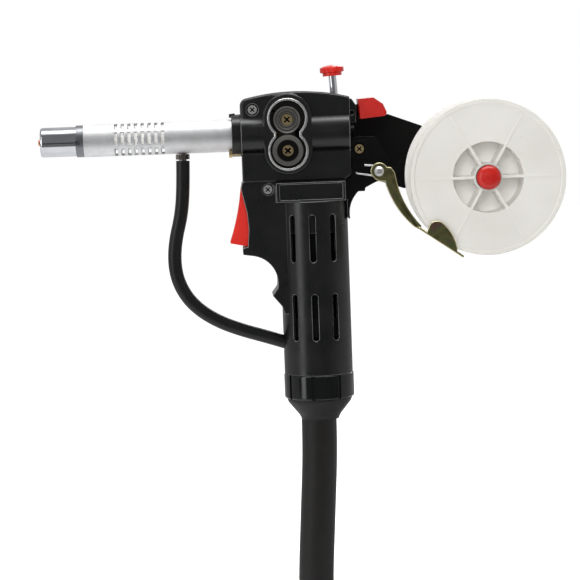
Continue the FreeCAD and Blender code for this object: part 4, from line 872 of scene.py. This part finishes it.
world = bpy.data.worlds.new("white_table_in_a_dark_room")
bpy.context.scene.world = world
world.use_nodes = True
background = world.node_tree.nodes["Background"]
background.inputs["Color"].default_value = (1, 1, 1, 1)
paths = add(world, "LightPath")
towards = add(world, "SeparateXYZ", {"Vector": add(world, "TexCoord").outputs["Generated"]})
ceiling = add(world, "MapRange", {"Value": towards.outputs["Z"], "From Min": 0.86, "From Max": 0.97},
              interpolation_type="SMOOTHSTEP")
wall = add(world, "MapRange", {"Value": towards.outputs["Y"], "From Min": 0.1, "From Max": 0.7,
                               "To Max": 0.5}, interpolation_type="SMOOTHSTEP")
across = add(world, "Math", {0: towards.outputs["X"]}, operation="ABSOLUTE")
sides = add(world, "MapRange", {"Value": across.outputs["Value"], "From Min": 0.55, "From Max": 0.85,
                                "To Max": 0.45}, interpolation_type="SMOOTHSTEP")
walls = add(world, "Math", {0: sides.outputs["Result"], 1: wall.outputs["Result"]}, operation="MAXIMUM")
lit = add(world, "Math", {0: ceiling.outputs["Result"], 1: walls.outputs["Value"]}, operation="MAXIMUM")
mirrored = add(world, "MapRange", {"Value": lit.outputs["Value"], "To Min": DIM_ROOM, "To Max": 1.0})
shed = add(world, "MapRange", {"Value": paths.outputs["Is Glossy Ray"], "To Min": DIFFUSE_LEVEL,
                               "To Max": mirrored.outputs["Result"]})
clear = add(world, "Math", {0: paths.outputs["Is Camera Ray"], 1: paths.outputs["Is Transmission Ray"]},
            operation="MAXIMUM")
level = add(world, "MapRange", {"Value": clear.outputs["Value"], "To Min": shed.outputs["Result"],
                                "To Max": 1.0})
world.node_tree.links.new(level.outputs["Result"], background.inputs["Strength"])
print("the room's graph has", len(world.node_tree.nodes), "nodes")

# %% [markdown]
# The paper lies under the object and ends 0.6 m in front of it. Seen in a mirror, the floor beyond is the
# dark room's. The camera finds the floor white, and the object's shadow stays on it.

# %% Floor
FLOOR_GAP = 0.0003
FLOOR_HALF = 6.0
PAPER_ENDS, ROOM_STARTS = -0.5, -0.7
CAMERA_LIFT = 0.8

floor_level = cad_box[0].z - FLOOR_GAP
floor_shape = bmesh.new()
bmesh.ops.create_grid(floor_shape, x_segments=1, y_segments=1, size=FLOOR_HALF)
bmesh.ops.translate(floor_shape, vec=(0, 0, floor_level), verts=floor_shape.verts)
floor_mesh = bpy.data.meshes.new("studio_floor")
floor_shape.to_mesh(floor_mesh)
floor_shape.free()
floor = bpy.data.objects.new("studio_floor", floor_mesh)
bpy.context.scene.collection.objects.link(floor)

paper, paper_shader = start_material("white_paper_floor", Roughness=0.9, Emission_Color=(1, 1, 1, 1))
seen = add(paper, "LightPath")
spot = add(paper, "SeparateXYZ", {"Vector": add(paper, "TexCoord").outputs["Object"]})
beyond = add(paper, "MapRange", {"Value": spot.outputs["Y"], "From Min": PAPER_ENDS, "From Max": ROOM_STARTS})
dark = add(paper, "Math", {0: seen.outputs["Is Glossy Ray"], 1: beyond.outputs["Result"]},
           operation="MULTIPLY")
sheet = add(paper, "ValToRGB", {"Fac": dark.outputs["Value"]},
            [(0.0, srgb("#F4F4F4")), (1.0, srgb("#5C5C5C"))])
lift = add(paper, "Math", {0: seen.outputs["Is Camera Ray"], 1: CAMERA_LIFT}, operation="MULTIPLY")
drive(paper, paper_shader, Base_Color=sheet.outputs["Color"], Emission_Strength=lift.outputs["Value"])
floor_mesh.materials.append(paper)
print("floor at", round(floor_level, 4))

# %% [markdown]
# Four soft boxes light the object. A long narrow one overhead puts a line along the tops of the head and the
# barrel. The main one stands in front, so that its light reaches into the spool's recess. It is a large
# diffuse fill, and it is kept out of the reflections, where it would haze the black plastic. A tall narrow
# one to the left runs down the left of the grip, and one behind serves whoever walks round to the back.

# %% Lamps
LIT_SPOT = Vector((0.0, 0.0, 0.03))


def lamp(name, spot, width, height, watts):
    """A soft box at a spot, aimed at the object."""
    data = bpy.data.lights.new(name, "AREA")
    data.shape = "RECTANGLE"
    data.size, data.size_y, data.energy = width, height, watts
    thing = bpy.data.objects.new(name, data)
    bpy.context.scene.collection.objects.link(thing)
    thing.location = spot
    thing.rotation_mode = "QUATERNION"
    thing.rotation_quaternion = (LIT_SPOT - Vector(spot)).to_track_quat("-Z", "Y")
    return thing


lamp("overhead_softbox", (0.0, -0.08, 1.2), 1.4, 0.36, 11)
fill = lamp("front_fill", (-0.15, -1.7, 0.48), 0.9, 0.9, 15)
fill.visible_glossy = False
lamp("side_softbox", (-1.05, -0.75, 0.30), 0.35, 1.3, 4)
lamp("rear_softbox", (0.5, 1.5, 0.8), 0.9, 0.9, 9)

# %% [markdown]
# Last, the CAD model's box is printed in millimetres.

# %% The CAD model's size
print("CAD box in mm:", [round((high - low) / MM) for low, high in zip(*cad_box)])
